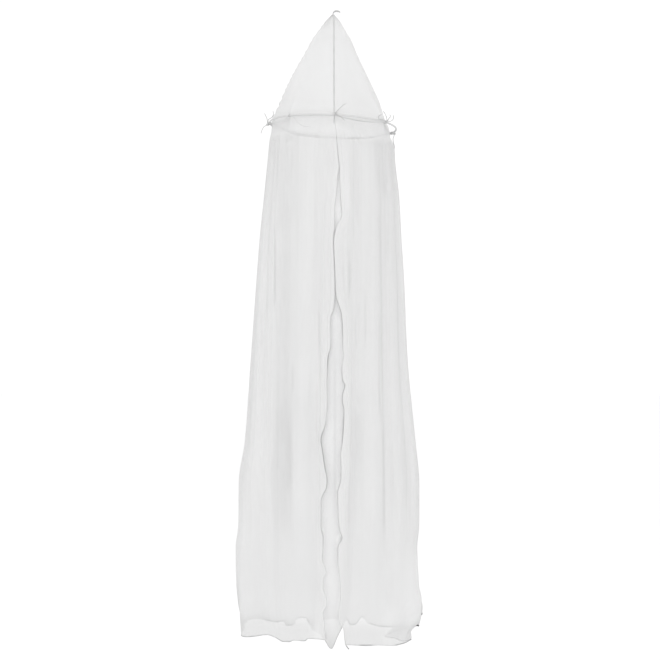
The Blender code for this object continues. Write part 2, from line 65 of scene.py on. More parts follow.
# ------------------------------------------------------------------------------ the hung shape
AXIS_X = -0.012
AXIS = np.array([AXIS_X, 0.0, 0.0])
SEAM_GAP = 0.0007
HALF_CLOTH = 0.0006
HOOP_DROP = 0.4605
HOOP_RADIUS = 0.250
HOOP_ROLL = math.radians(3.0)
HOOP_PITCH = math.radians(0.35)
JOIN_TURN = 190.0
JOIN_HALF_GAP = 0.25
SLEEVE_TURN = 6.4
WRAP_RADIUS = 0.0053
WRAP_CLEARANCE = 0.0005
TIE_RADIUS = 0.0012
WAIST_RADIUS = HOOP_RADIUS - (WRAP_RADIUS + TIE_RADIUS + WRAP_CLEARANCE + HALF_CLOTH)
LOOP_RADIUS = 0.0020
TIP_DROP = 0.018
TIP_RADIUS = 0.0055
CONE_ROUND = 0.7
GATHERS = 9
GATHER_DEPTH = 0.0025
GATHER_FALLS = (0.05, 0.2)
CONE_LEAN = 0.009
LEAN_POWER = 1.3
HEM_DROP = 2.450
FLARE = 0.035

Tie = namedtuple("Tie", "name turn sag")
TIES = (
    Tie("center", -1.0, 0.001),
    Tie("front_left", 42.0, 0.003),
    Tie("left", 90.0, 0.005),
    Tie("back_left", 146.0, 0.005),
    Tie("back_right", 204.0, 0.005),
    Tie("right_back", 252.0, 0.008),
    Tie("right_front", 306.0, 0.008),
)

# Knots: centre from the hoop's centreline and half sizes, each outward, along the hoop and up.
Knot = namedtuple("Knot", "tie out along up half_out half_along half_up")
KNOTS = (
    Knot("center", 0.0080, -0.0037, 0.0030, 0.0040, 0.0080, 0.0055),
    Knot("front_left", 0.0070, 0.0030, -0.0050, 0.0042, 0.0075, 0.0042),
    Knot("left", 0.0090, -0.0020, -0.0060, 0.0060, 0.0035, 0.0050),
    Knot("back_left", 0.0060, 0.0000, -0.0060, 0.0035, 0.0100, 0.0035),
    Knot("back_right", 0.0060, 0.0000, -0.0050, 0.0035, 0.0100, 0.0035),
    Knot("right_back", 0.0110, 0.0000, -0.0010, 0.0055, 0.0045, 0.0045),
    Knot("right_front", 0.0080, 0.0030, 0.0030, 0.0040, 0.0070, 0.0045),
)

# Free ends of the ties: the tie that holds each, its length, and its route from just outside the
# knot.
FreeEnd = namedtuple("FreeEnd", "name tie length route")
FREE_ENDS = (
    FreeEnd("left_end_up", "left", 0.0406, ((-0.262, -0.006, -0.430), (-0.271, -0.013, -0.411))),
    FreeEnd("left_end_inner", "left", 0.0694,
            ((-0.2555, -0.015, -0.436), (-0.247, -0.026, -0.433), (-0.238, -0.032, -0.427),
             (-0.235, -0.032, -0.416), (-0.237, -0.028, -0.403))),
    FreeEnd("left_end_tail", "left", 0.0401,
            ((-0.274, -0.004, -0.462), (-0.281, -0.004, -0.474), (-0.286, -0.003, -0.488))),
    FreeEnd("center_end_curl", "center", 0.0507,
            ((0.020, -0.262, -0.446), (0.030, -0.262, -0.437), (0.037, -0.258, -0.428),
             (0.048, -0.252, -0.423))),
    FreeEnd("center_end_right", "center", 0.0393,
            ((0.022, -0.264, -0.470), (0.032, -0.265, -0.477), (0.043, -0.262, -0.487))),
    FreeEnd("center_end_down", "center", 0.0339,
            ((0.004, -0.264, -0.476), (0.003, -0.264, -0.486), (0.003, -0.261, -0.497))),
    FreeEnd("right_front_end_up", "right_front", 0.0402,
            ((0.203, -0.161, -0.452), (0.198, -0.156, -0.440), (0.193, -0.150, -0.430))),
    FreeEnd("right_front_end_hook", "right_front", 0.0386,
            ((0.219, -0.158, -0.470), (0.228, -0.154, -0.464), (0.231, -0.152, -0.455),
             (0.232, -0.152, -0.446))),
    FreeEnd("right_front_end_short", "right_front", 0.0317,
            ((0.213, -0.168, -0.461), (0.218, -0.175, -0.455), (0.216, -0.172, -0.447))),
    FreeEnd("right_front_end_left", "right_front", 0.0708,
            ((0.184, -0.176, -0.467), (0.172, -0.193, -0.466), (0.173, -0.198, -0.458),
             (0.184, -0.191, -0.451))),
    FreeEnd("right_back_end_tail", "right_back", 0.0551,
            ((0.247, 0.082, -0.484), (0.243, 0.081, -0.495), (0.245, 0.081, -0.508),
             (0.250, 0.082, -0.532))),
)
# The inner tail of the front left tie starts on the waist seam instead.
INNER_TAIL = ((-0.1527, -0.1813, -0.4545), (-0.140, -0.183, -0.471), (-0.127, -0.185, -0.486),
              (-0.108, -0.190, -0.496), (-0.090, -0.197, -0.496))
INNER_TAIL_LENGTH = 0.0824

# One side of the hanging loop, up from the gathered tip, and its far end. Here x is measured from
# the crown.
LOOP_SIDE = ((AXIS_X, 0.0023, -0.034), (AXIS_X, 0.0023, -0.014), (-0.0095, 0.0036, -0.007),
             (-0.0040, 0.0052, -0.003), (0.0030, 0.0060, -0.002), (0.0110, 0.0044, -0.004))
LOOP_END = (0.0160, 0.0, -0.006)

# Fall down the cone and its radius there, as a share of the waist's.
CONE_SPREAD = (
    (0.0, TIP_RADIUS / WAIST_RADIUS), (0.06, 0.115), (0.117, 0.185), (0.225, 0.318), (0.334, 0.412),
    (0.55, 0.617), (0.766, 0.805), (0.875, 0.905), (0.95, 0.98), (1.0, 1.0),
)

# Level sections of the skirt at each drop: a rounded rectangle, by how far it reaches to each side
# and the radius of its corners. The splay spreads its right side towards the back.
Section = namedtuple("Section", "drop left right front back corner splay")
SECTIONS = (
    Section(0.46, 0.246, 0.240, 0.243, 0.243, 0.238, 0.00),
    Section(0.59, 0.258, 0.246, 0.236, 0.236, 0.230, 0.00),
    Section(0.75, 0.274, 0.264, 0.226, 0.226, 0.215, 0.00),
    Section(0.91, 0.290, 0.272, 0.215, 0.215, 0.200, 0.00),
    Section(1.07, 0.302, 0.282, 0.205, 0.205, 0.185, 0.00),
    Section(1.39, 0.324, 0.297, 0.188, 0.188, 0.160, 0.00),
    Section(1.70, 0.345, 0.326, 0.174, 0.172, 0.130, 0.00),
    Section(1.86, 0.368, 0.340, 0.168, 0.165, 0.115, 0.00),
    Section(2.02, 0.369, 0.340, 0.162, 0.158, 0.100, 0.00),
    Section(2.12, 0.380, 0.331, 0.158, 0.155, 0.090, 0.00),
    Section(2.26, 0.378, 0.336, 0.154, 0.152, 0.075, 0.00),
    Section(2.34, 0.372, 0.352, 0.152, 0.150, 0.060, 0.03),
    Section(2.40, 0.363, 0.350, 0.151, 0.150, 0.045, 0.06),
    Section(2.46, 0.358, 0.333, 0.150, 0.150, 0.035, 0.12),
)

# Opening: drop and x down each edge of the skirt.
LEFT_EDGE = (
    (0.455, 0.0045), (0.519, 0.0100), (0.575, 0.0137), (0.612, 0.0175), (0.650, 0.0210),
    (0.687, 0.0145), (0.760, 0.0095), (0.817, 0.0031), (0.873, 0.0031), (0.922, -0.0025),
    (0.982, 0.0010), (1.098, 0.0045), (1.135, 0.0040), (1.192, -0.0005), (1.211, -0.0095),
    (1.268, -0.0119), (1.325, -0.0100), (1.367, -0.0195), (1.439, -0.0233), (1.477, -0.0252),
    (1.515, -0.0233), (1.618, -0.0290), (1.682, -0.0461), (1.724, -0.0404), (1.781, -0.0328),
    (1.838, -0.0233), (1.865, -0.0252), (1.890, -0.0386), (1.917, -0.0463), (2.020, -0.0463),
    (2.051, -0.0386), (2.089, -0.0386), (2.139, -0.0425), (2.192, -0.0272), (2.211, -0.0387),
    (2.250, -0.0406), (2.288, -0.0291), (2.315, -0.0272), (2.345, -0.0425), (2.387, -0.0367),
    (2.452, -0.0310),
)
RIGHT_EDGE = (
    (0.455, 0.0072), (0.519, 0.0128), (0.575, 0.0168), (0.612, 0.0208), (0.650, 0.0245),
    (0.687, 0.0250), (0.723, 0.0262), (0.779, 0.0295), (0.824, 0.0332), (0.862, 0.0181),
    (0.899, 0.0085), (0.922, 0.0040), (0.982, 0.0062), (1.098, 0.0100), (1.135, 0.0146),
    (1.196, 0.0316), (1.249, 0.0354), (1.325, 0.0373), (1.351, 0.0410), (1.401, 0.0337),
    (1.439, 0.0356), (1.462, 0.0451), (1.500, 0.0356), (1.522, 0.0356), (1.553, 0.0413),
    (1.610, 0.0394), (1.686, 0.0337), (1.724, 0.0280), (1.762, 0.0318), (1.819, 0.0299),
    (1.868, 0.0168), (1.917, 0.0187), (1.963, 0.0206), (2.013, 0.0263), (2.039, 0.0359),
    (2.070, 0.0187), (2.116, 0.0187), (2.166, 0.0244), (2.261, 0.0301), (2.299, 0.0263),
    (2.345, 0.0225), (2.391, 0.0416), (2.452, 0.0492), (2.471, 0.0530),
)

# Folds of the skirt, left to right round the back: turn at the waist and at the hem, depth at five
# falls, how pinched the valley is, how it leans along the cloth, and how far its hem is lifted.
Fold = namedtuple("Fold", "name top hem d1 d2 d3 d4 d5 pinch lean lift")
DEPTH_FALLS = (0.0, 0.13, 0.42, 0.70, 0.88, 1.0)
FOLDS = (
    Fold("left_inner", 13, 10, 0.003, 0.007, 0.006, 0.002, 0.001, 2.0, 0.0, -0.009),
    Fold("left_broad", 45, 33, 0.012, 0.014, 0.024, 0.010, 0.004, 1.2, 0.0, -0.012),
    Fold("left_outer", 66, 48, 0.006, 0.011, 0.008, 0.006, 0.003, 1.8, 0.0, 0.012),
    Fold("left_corner", 82, 68, 0.003, 0.006, 0.004, 0.002, 0.002, 2.0, 0.0, -0.006),
    Fold("left_side", 97, 88, 0.006, 0.010, 0.014, 0.012, 0.008, 1.2, 0.0, 0.000),
    Fold("back_left_far", 117, 112, 0.012, 0.018, 0.020, 0.016, 0.010, 1.0, 0.0, 0.002),
    Fold("back_left", 142, 138, 0.012, 0.020, 0.018, 0.014, 0.012, 1.0, 0.0, -0.004),
    Fold("back_inner_left", 166, 165, 0.010, 0.016, 0.022, 0.018, 0.014, 1.3, 0.0, 0.003),
    Fold("back_inner_right", 188, 191, 0.012, 0.018, 0.016, 0.016, 0.020, 1.0, 0.0, -0.002),
    Fold("back_right", 212, 215, 0.012, 0.020, 0.020, 0.014, 0.010, 1.2, 0.0, 0.002),
    Fold("back_right_far", 235, 239, 0.010, 0.016, 0.018, 0.014, 0.008, 1.0, 0.0, 0.000),
    Fold("right_side", 257, 255, 0.006, 0.010, 0.012, 0.010, 0.008, 1.2, 0.0, 0.000),
    Fold("right_pleat", 274, 279, 0.005, 0.008, 0.010, 0.022, 0.125, 1.0, 0.42, 0.002),
    Fold("right_outer", 290, 306, 0.010, 0.012, 0.010, 0.004, 0.002, 1.5, 0.0, -0.024),
    Fold("right_main", 310, 322, 0.016, 0.016, 0.018, 0.006, 0.003, 1.5, 0.0, -0.030),
    Fold("right_inner", 338, 347, 0.012, 0.009, 0.014, 0.004, 0.002, 1.3, 0.0, -0.022),
)
LEFT_EDGE_LIFT = -0.005
RIGHT_EDGE_LIFT = -0.030

# Underlap: x of its two sides and how far it hangs behind the section at each drop; its foot's
# drop by share of its width, from the left; and the depth of its one soft fold.
Lap = namedtuple("Lap", "drop left right behind")
UNDERLAP = (
    Lap(0.455, -0.041, 0.049, 0.0021),
    Lap(0.500, -0.048, 0.050, 0.0045),
    Lap(0.650, -0.060, 0.064, 0.0110),
    Lap(1.000, -0.075, 0.080, 0.0170),
    Lap(1.600, -0.085, 0.088, 0.0190),
    Lap(2.100, -0.088, 0.080, 0.0150),
    Lap(2.300, -0.086, 0.062, 0.0110),
    Lap(2.500, -0.080, 0.036, 0.0090),
)
UNDERLAP_HEM = ((0.0, 2.415), (0.3, 2.440), (0.63, 2.491), (0.8, 2.440), (1.0, 2.375))
UNDERLAP_FOLD = 0.010

# ------------------------------------------------------------------------------ the fine surface
# Shallow ripples of the skirt: height, waves to a fold, start in waves, and slant down the fall.
# They grow over RIPPLE_RISE, calm by an amount from a fall on, and die out at the two edges. The
# first one swells in patches: beats across and their start, beats down and their slant.
RIPPLES = ((0.0010, 2.3, 0.35, 2.2), (0.0005, 4.7, 0.0, -3.1))
RIPPLE_RISE = 0.06
RIPPLE_SINK = (0.75, 0.72, 0.15)
RIPPLE_EDGE = 0.25
SWELL = (1.7, 0.8, 3.9, 0.6)

# Soft creases of the front: where each begins and ends, its half width, how far it stands proud,
# and how much closer the threads lie in it, which also sets its painted shade.
Crease = namedtuple("Crease", "x_top drop_top x_end drop_end width lift close")
CREASES = (
    Crease(-0.152, 1.39, -0.153, 1.51, 0.004, 0.0020, 0.30),
    Crease(-0.224, 0.82, -0.224, 1.18, 0.003, 0.0015, 0.22),
    Crease(-0.273, 1.15, -0.275, 1.35, 0.003, 0.0015, 0.20),
    Crease(-0.055, 1.13, -0.054, 1.35, 0.003, 0.0012, 0.18),
    Crease(-0.046, 1.32, -0.045, 1.46, 0.003, 0.0012, 0.20),
    Crease(-0.088, 1.41, -0.090, 1.54, 0.003, 0.0012, 0.16),
    Crease(0.037, 1.01, 0.040, 1.12, 0.003, 0.0012, 0.18),
    Crease(0.064, 1.01, 0.066, 1.12, 0.003, 0.0012, 0.16),
    Crease(0.121, 1.13, 0.122, 1.33, 0.003, 0.0015, 0.20),
    Crease(0.083, 1.24, 0.084, 1.33, 0.003, 0.0012, 0.16),
    Crease(0.174, 0.76, 0.186, 1.69, 0.004, 0.0022, 0.30),
    Crease(0.190, 1.60, 0.194, 2.10, 0.004, 0.0024, 0.34),
)
# Creases, and the bands below, lie on the front only, by a rise in y, and fade at their two ends.
CREASE_FRONT = (0.03, -0.05)
CREASE_FADE = 0.2
# Painted shade in a crease, for each share by which its threads lie closer.
CREASE_PAINTED_SHADE = 0.28

# Soft folds of the front, as painted shade: where each begins and ends, its half width, and how
# much painted shade each carries, or painted light where that is negative.
Band = namedtuple("Band", "x_top drop_top x_end drop_end width depth")
PAINTED_SHADE_BANDS = (
    Band(-0.203, 0.50, -0.200, 0.95, 0.026, 0.035),
    Band(-0.146, 0.52, -0.150, 0.90, 0.026, 0.015),
    Band(-0.086, 0.50, -0.100, 1.60, 0.022, -0.020),
    Band(0.050, 0.52, 0.052, 0.86, 0.018, -0.015),
    Band(0.094, 0.50, 0.096, 0.90, 0.020, 0.020),
    Band(0.150, 0.52, 0.152, 1.60, 0.022, -0.012),
    Band(0.196, 0.52, 0.197, 0.78, 0.012, 0.055),
    Band(0.232, 0.56, 0.232, 1.36, 0.022, 0.014),
    Band(-0.185, 0.85, -0.186, 1.75, 0.030, 0.040),
    Band(-0.184, 1.50, -0.184, 2.12, 0.026, 0.055),
    Band(-0.168, 1.62, -0.168, 1.92, 0.009, 0.045),
    Band(-0.125, 1.55, -0.125, 2.05, 0.022, -0.025),
    Band(-0.074, 1.55, -0.074, 1.98, 0.014, 0.012),
    Band(0.091, 1.55, 0.088, 1.84, 0.018, 0.030),
    Band(0.080, 1.80, 0.046, 2.10, 0.016, 0.025),
    Band(0.150, 1.55, 0.152, 2.05, 0.020, -0.020),
    Band(0.279, 1.62, 0.280, 1.98, 0.014, 0.022),
    Band(0.310, 1.66, 0.312, 2.02, 0.010, -0.025),
    Band(-0.258, 0.70, -0.290, 2.05, 0.020, -0.036),
    Band(-0.345, 1.80, -0.345, 2.50, 0.020, -0.025),
    Band(0.250, 0.62, 0.305, 2.00, 0.020, -0.030),
    Band(0.191, 1.50, 0.200, 2.16, 0.005, 0.038),
    Band(-0.151, 1.48, -0.151, 2.14, 0.006, -0.030),
    Band(-0.374, 2.20, -0.357, 2.62, 0.006, 0.110),
    Band(0.315, 2.05, 0.330, 2.75, 0.045, -0.060),
    Band(0.215, 2.30, 0.225, 2.65, 0.030, -0.045),
    Band(0.000, 1.78, 0.000, 2.22, 0.500, -0.012),
    Band(-0.172, 0.74, -0.175, 1.08, 0.016, 0.022),
    Band(0.203, 0.62, 0.207, 1.06, 0.011, 0.024),
    Band(0.180, 1.00, 0.184, 1.62, 0.008, -0.018),
    Band(-0.065, 1.08, -0.067, 2.12, 0.008, -0.024),
    Band(-0.252, 1.18, -0.256, 1.60, 0.008, -0.026),
    Band(-0.178, 1.84, -0.176, 2.14, 0.014, -0.022),
    Band(-0.120, 1.32, -0.118, 1.64, 0.009, -0.022),
    Band(0.200, 1.60, 0.208, 2.14, 0.014, -0.014),
    Band(-0.222, 0.86, -0.222, 1.21, 0.003, 0.075),
    Band(-0.229, 0.80, -0.229, 1.16, 0.003, -0.040),
    Band(-0.134, 0.82, -0.134, 1.02, 0.003, 0.035),
    Band(0.062, 0.96, 0.062, 1.18, 0.003, 0.065),
    Band(0.050, 0.90, 0.050, 1.13, 0.003, -0.040),
    Band(0.121, 1.08, 0.121, 1.32, 0.003, 0.050),
    Band(0.176, 1.18, 0.177, 1.66, 0.003, 0.060),
    Band(0.168, 1.18, 0.169, 1.66, 0.004, -0.030),
    Band(-0.053, 1.18, -0.053, 1.37, 0.003, 0.045),
    Band(-0.060, 1.16, -0.060, 1.52, 0.003, -0.035),
)
BAND_FADE = 0.25
BAND_SINK = 0.05

# Tone of each side hem at each drop, as painted light and shade: less is darker.
LEFT_HEM_PAINTED_SHADING = (
    (0.455, 1.50), (0.60, 1.50), (0.68, 1.35), (0.90, 1.45), (1.12, 1.45), (1.20, 1.10),
    (1.28, 1.18), (1.33, 0.95), (1.38, 0.58), (1.44, 1.15), (1.60, 1.20), (1.68, 0.66),
    (1.76, 0.62), (1.83, 0.88), (1.95, 0.97), (2.10, 1.08), (2.28, 1.45), (2.45, 1.40),
)
RIGHT_HEM_PAINTED_SHADING = (
    (0.455, 1.50), (0.60, 1.40), (0.68, 1.05), (0.82, 0.95), (0.90, 1.55), (1.00, 1.55),
    (1.06, 1.15), (1.20, 0.85), (1.30, 0.90), (1.40, 1.15), (1.50, 0.85), (1.66, 0.78),
    (1.76, 1.10), (1.95, 1.00), (2.10, 1.08), (2.20, 1.25), (2.38, 1.40), (2.45, 1.10),
)
# Width of the side hems at each drop, as a share of the hem's width.
SIDE_HEM_WIDTH = (
    (0.455, 0.34), (0.62, 0.34), (0.72, 0.70), (0.86, 0.62), (0.93, 0.38), (1.12, 0.38),
    (1.22, 1.00), (2.45, 1.00),
)
# The right side hem's loose tail past the corner, from the corner, and its tone, a painted shade.
CORNER_TAIL = np.array(((0.004, -0.001, -0.005), (0.008, -0.002, -0.011), (0.013, -0.003, -0.016)))
CORNER_TAIL_PAINTED_SHADE = 0.4

# Hem line of the skirt, x and drop, along the front and along the back, and the hem's tone at x,
# which is painted light and shade.
# The cloth is drawn to it over the last HEM_FADE of its fall, and each line holds from a little
# way off the middle in y.
FRONT_HEM = (
    (-0.357, 2.445), (-0.307, 2.442), (-0.253, 2.436), (-0.219, 2.447), (-0.192, 2.462),
    (-0.168, 2.463), (-0.150, 2.457), (-0.108, 2.459), (-0.096, 2.450), (-0.031, 2.455),
    (0.054, 2.474), (0.103, 2.476), (0.233, 2.476), (0.271, 2.468), (0.298, 2.460),
)
FRONT_HEM_PAINTED_SHADING = (
    (-0.357, 0.80), (-0.310, 0.80), (-0.285, 0.95), (-0.253, 1.00), (-0.225, 1.05), (-0.200, 0.85),
    (-0.168, 0.80), (-0.160, 1.10), (-0.125, 1.10), (-0.105, 0.80), (-0.090, 1.10), (-0.030, 1.10),
    (0.053, 1.20), (0.095, 1.05), (0.103, 0.50), (0.145, 0.50), (0.155, 1.20), (0.232, 1.15),
    (0.245, 0.65), (0.298, 0.60),
)
BACK_HEM = (
    (-0.300, 2.452), (-0.230, 2.463), (-0.200, 2.459), (-0.190, 2.480), (-0.165, 2.479),
    (-0.150, 2.451), (-0.110, 2.447), (-0.092, 2.474), (-0.072, 2.470), (-0.053, 2.456),
    (0.010, 2.452), (0.058, 2.451), (0.072, 2.474), (0.090, 2.474), (0.120, 2.445), (0.150, 2.472),
    (0.222, 2.485), (0.267, 2.486), (0.300, 2.470), (0.335, 2.432), (0.360, 2.425),
)
BACK_HEM_PAINTED_SHADING = (
    (-0.36, 1.45), (-0.285, 1.20), (-0.267, 0.40), (-0.252, 0.90), (-0.232, 0.55), (-0.200, 0.45),
    (-0.192, 1.10), (-0.168, 0.60), (-0.158, 1.25), (-0.135, 0.60), (-0.110, 0.40), (-0.090, 0.60),
    (-0.053, 0.65), (0.000, 1.45), (0.055, 0.60), (0.072, 0.40), (0.090, 0.50), (0.120, 0.55),
    (0.135, 1.20), (0.160, 0.50), (0.206, 0.35), (0.222, 0.30), (0.270, 0.30), (0.300, 0.60),
    (0.350, 0.15),
)
HEM_FADE = 0.07
HEM_LINE_RISE = (0.02, 0.06)
# The deep pleat: its hem line by place, where it lies, how far its outer fold is drawn in just
# above the hem, and where its netting is opened out. A span is a start, an end and its two fades.
PLEAT_HEM = (
    (12.45, 2.446), (12.67, 2.441), (12.78, 2.445), (12.88, 2.450), (12.99, 2.453), (13.21, 2.460),
    (13.31, 2.472), (13.45, 2.466), (13.60, 2.464),
)
PLEAT_SPAN = (12.45, 13.55, 0.12, 0.12)
PLEAT_OPEN_SPAN = (12.5, 13.4, 0.1, 0.1)
# Tone of the foot hem in the pleat, a painted shade.
PLEAT_HEM_PAINTED_SHADE = 0.15
PLEAT_TUCK = 0.022
TUCK_SPAN = (13.20, 13.85, 0.15, 0.25)
TUCK_DROP = 2.425
TUCK_REACH = 0.022

# Tone of the underlap at each drop, as painted light and shade, its one long crease of painted
# shade (x, half width, depth and span in drop), and the strips of painted light beside the skirt's
# two edges, which lift the shade those edges cast on it.
UNDERLAP_PAINTED_SHADING = (
    (0.46, 1.20), (1.10, 1.20), (1.40, 1.06), (1.70, 1.04), (2.00, 1.01), (2.20, 0.98),
    (2.33, 0.91), (2.42, 0.81), (2.49, 0.68),
)
UNDERLAP_CREASE = (0.007, 0.006, 0.09)
UNDERLAP_CREASE_SPAN = (1.30, 1.96, 0.15, 0.1)
BESIDE_WIDTH = 0.0075
BESIDE_PAINTED_LIGHT = 0.130
BESIDE_SPAN = (1.80, 2.45, 0.1, 0.05)

# Scallops down the cone's left side: length, wander in scallops and its beat, depth, the turn
# where they lie and their reach in degrees, and their span in fall.
SCALLOP_LENGTH = 0.027
SCALLOP_WANDER = (0.35, 21.0)
SCALLOP_DEPTH = 0.0052
SCALLOP_TURN = (92.0, 13.0)
SCALLOP_SPAN = (0.05, 1.0, 0.06, 0.10)

# Gathers under the cone's tip: strands round it, and for each term of their closeness and of their
# painted shade the even part, the part that follows the strands, and its reach in fall.
STRANDS = 27
STRAND_START = 1.3
CLOSE_GATHERS = ((0.85, 0.0, 0.02), (0.0, 0.45, 0.06))
GATHER_PAINTED_SHADE = ((0.09, 0.10, 0.07), (0.38, 0.0, 0.016))
# Painted shade on the cone's upper part, all round and on the left, with its reach in fall, and
# slightly more painted shade on the left front, a span of turns.
TIP_SHADE = (0.034, 0.26)
TIP_LEFT_SHADE = (0.096, 0.135)
LEFT_RISE = (0.1, 0.5)
LEFT_FRONT_SHADE = 0.020
LEFT_FRONT_SPAN = (2.0, 51.0, 36.0, 5.0)
# How much painted light netting gets where it turns away from the front.
SIDE_ON_PAINTED_LIGHT = 0.045
CONE_SIDE_ON = (0.94, -0.35)
SKIRT_SIDE_ON = (0.97, -0.40)
SIDE_ON_RISE = (0.05, 0.1)

# How much closer the threads lie at the waist seam and at the skirt's two edges, and how far
# that reaches.
SEAM_CLOSE = 0.5
CONE_SEAM_REACH = 0.006
SKIRT_SEAM_REACH = 0.003
RIM_CLOSE = 0.45
RIM_REACH = 0.05

# Falls between which the cover goes from the waist's to the hanging and to the foot's share; and
# the same for the underlap, whose upper part is more open.
COVER_FALLS = (0.0, 0.038, 0.049, 0.92, 0.975, 1.0)
UNDERLAP_COVER_FALLS = (0.0, 0.045, 0.075, 1.0)
UNDERLAP_SHEER = 0.6
# The back of the skirt (a rise in y): less open under the waist, but open along the seam itself.
BACK_RISE = (0.05, 0.1)
BACK_WAIST_SHUT = 0.4
BACK_WAIST_RISE = (0.05, -0.01)
BACK_SEAM_OPEN = (0.40, 0.012)
# The skirt's foot, rises in fall: the cloth lapped double left of the opening (x and width), and
# what the lap, the pleat and the foot do to the openness and the tone. The tone gets painted light
# in the pleat and under the waist in front, and painted shade at the foot, less where the cloth is
# lapped.
LOW_RISE = (0.90, 0.05)
FOOT_RISE = (0.952, 0.02)
LAP_X = (-0.055, 0.030)
LAP_RISE = (0.0, -0.05)
LAP_SHUT = 0.65
LAP_LIGHT = 1.1
PLEAT_OPEN = 1.2
PLEAT_PAINTED_LIGHT = 0.25
FOOT_SHADE = 0.10
WAIST_PAINTED_LIGHT = 0.13
WAIST_RISE = (0.046, -0.022)

# Closing seam of the cone: the fall where it ends, how far right of the axis and in front of the
# cloth it hangs, half its thickness, and how uneven its tone is, with the beats.
SEAM_END = 0.985
SEAM_FACING = (0.0, -1.0, 0.35)
SEAM_SIDE = 0.0035
SEAM_LIFT = 0.0008
SEAM_THICK = 0.0010
SEAM_UNEVEN = 0.06
SEAM_BEAT = 47.0

# Waist binding: half width in front and how much more at the back, its wider fold at the left, the
# tone likewise, as painted light in front and painted shade towards the back and at two turns, and
# the gap between its two ends. A bell is a height, a turn and a reach.
BINDING_WIDTH = (0.0013, 0.0069)
BINDING_FOLD = ((0.0042, 135.0, 26.0),)
BINDING_PAINTED_SHADING = (1.50, 1.08)
BINDING_SHADES = ((0.50, 335.0, 20.0), (0.25, 20.0, 16.0))
BINDING_HALF_GAP = 0.6
BINDING_LIFT = 0.0003
BINDING_THICK = 0.0007

# Hems: half thickness, unevenness of the tone and its beats along the side and foot hems, and the
# foot hem's lift, its width in front and at the back in hem widths, and its darkest tone.
HEM_THICK = 0.0009
HEM_UNEVEN = 0.08
SIDE_BEAT = 61.0
FOOT_BEAT = 23.0
FOOT_HEM_LIFT = 0.0008
FOOT_HEM_SHARE = (0.55, 1.10)
HEM_DARKEST = 0.1
# The underlap's hems: half width, half thickness and tone.
UNDERLAP_SIDE_HEM = (0.0012, 0.0005, 1.3)
UNDERLAP_FOOT_HEM = (0.0013, 0.0006, 0.9)
UNDERLAP_FOOT_LIFT = 0.0006

# Hoop and sleeve: the lip of the sleeve's ends over the rod, the share over which they round, its
# grooves, and the roughness of the two plastics.
SLEEVE_LIP = 0.0002
SLEEVE_ROUND = 0.03
SLEEVE_GROOVES = ((0.0007, 0.84, 0.025), (0.0003, 0.0, 0.02))
ROD_ROUGHNESS = 0.38
SLEEVE_ROUGHNESS = 0.32

# Ties: turns of a wrap, the trefoil's ends and reach, the leads, and the cords' twist and tone. The
# wrapped and knotted cord is a lighter copy of the free ends' cord as painted light, more so on the
# front left tie, and the inner tail is a darker copy as painted shade.
WRAP_TURNS = 2.5
KNOT_ENDS = 0.15
KNOT_REACH = (2.74, 3.0)
KNOT_INSET = 0.8
EXIT_GAP = 0.0006
LEAD_SHARE = 0.25
LEAD_PAST = 0.0008
LEAD_THIN = 0.96
LEAD_FACING = (0.3, 0.5, 0.8)
TIE_TWIST = 0.0022
TIE_PAINTED_LIGHT = 1.36
PALE_PAINTED_LIGHT = 1.62
INNER_PAINTED_SHADE = 0.5

# Hanging loop and the thread that binds the gathered tip: turns, radii, pitch and twist.
LOOP_TWIST = 0.0030
LOOP_FACING = (0.35, 0.0, 1.0)
THREAD_TURNS = 4.5
THREAD_RING = 0.0058
THREAD_RADIUS = 0.0006
THREAD_PITCH = 0.0011
THREAD_DROP = 0.0015
THREAD_TWIST = 0.0012

# Netting pattern: a honeycomb's area per hole over pi, in square pitches; half the width of a
# hole's soft edge; and a shift, in pitches, that keeps the cloths' places above zero.
HOLE_SHARE = 0.2757
HOLE_EDGE = 0.03
CLEAR_OF_ZERO = 2000.0
STITCH_LENGTH = 0.003

# Grids of the cloths: columns, and rows as the fall where they grow coarser and how many lie
# above and below it.
CONE_COLUMNS = 480
CONE_ROWS = (0.12, 40, 110)
SKIRT_COLUMNS = 476
SKIRT_ROWS = (0.04, 14, 190)
UNDERLAP_COLUMNS = 81
UNDERLAP_ROWS = 301
# Points along the paths of the other pieces, steps to a span of a listed route, and sides of the
# round ones.
HOOP_STEPS = 361
SLEEVE_STEPS = 61
WRAP_STEPS = 121
KNOT_STEPS = 161
LEAD_STEPS = 7
THREAD_STEPS = 200
SEAM_STEPS = 120
BINDING_STEPS = 721
SIDE_HEM_STEPS = 420
LOOP_STEPS = 10
CORD_STEPS = 6
ROD_SIDES = 20
SLEEVE_SIDES = 24
LOOP_SIDES = 14
CORD_SIDES = 10
THREAD_SIDES = 6

# Studio.
CAMERA_SIDE = -0.0119
SENSOR_WIDTH = 36.0
FLOOR_REACH = 24.0
FLOOR_COLOR = (0.96, 0.96, 0.96)
FLOOR_ROUGHNESS = 0.95
LAMPS = (
    ("Overhead light", "overhead", 3.0, (0.0, -0.3, 1.9), (0.0, 0.0, -1.0)),
    ("Key light", "key", 2.2, (-0.3, -4.6, -0.5), (0.0, 0.0, -1.3)),
)


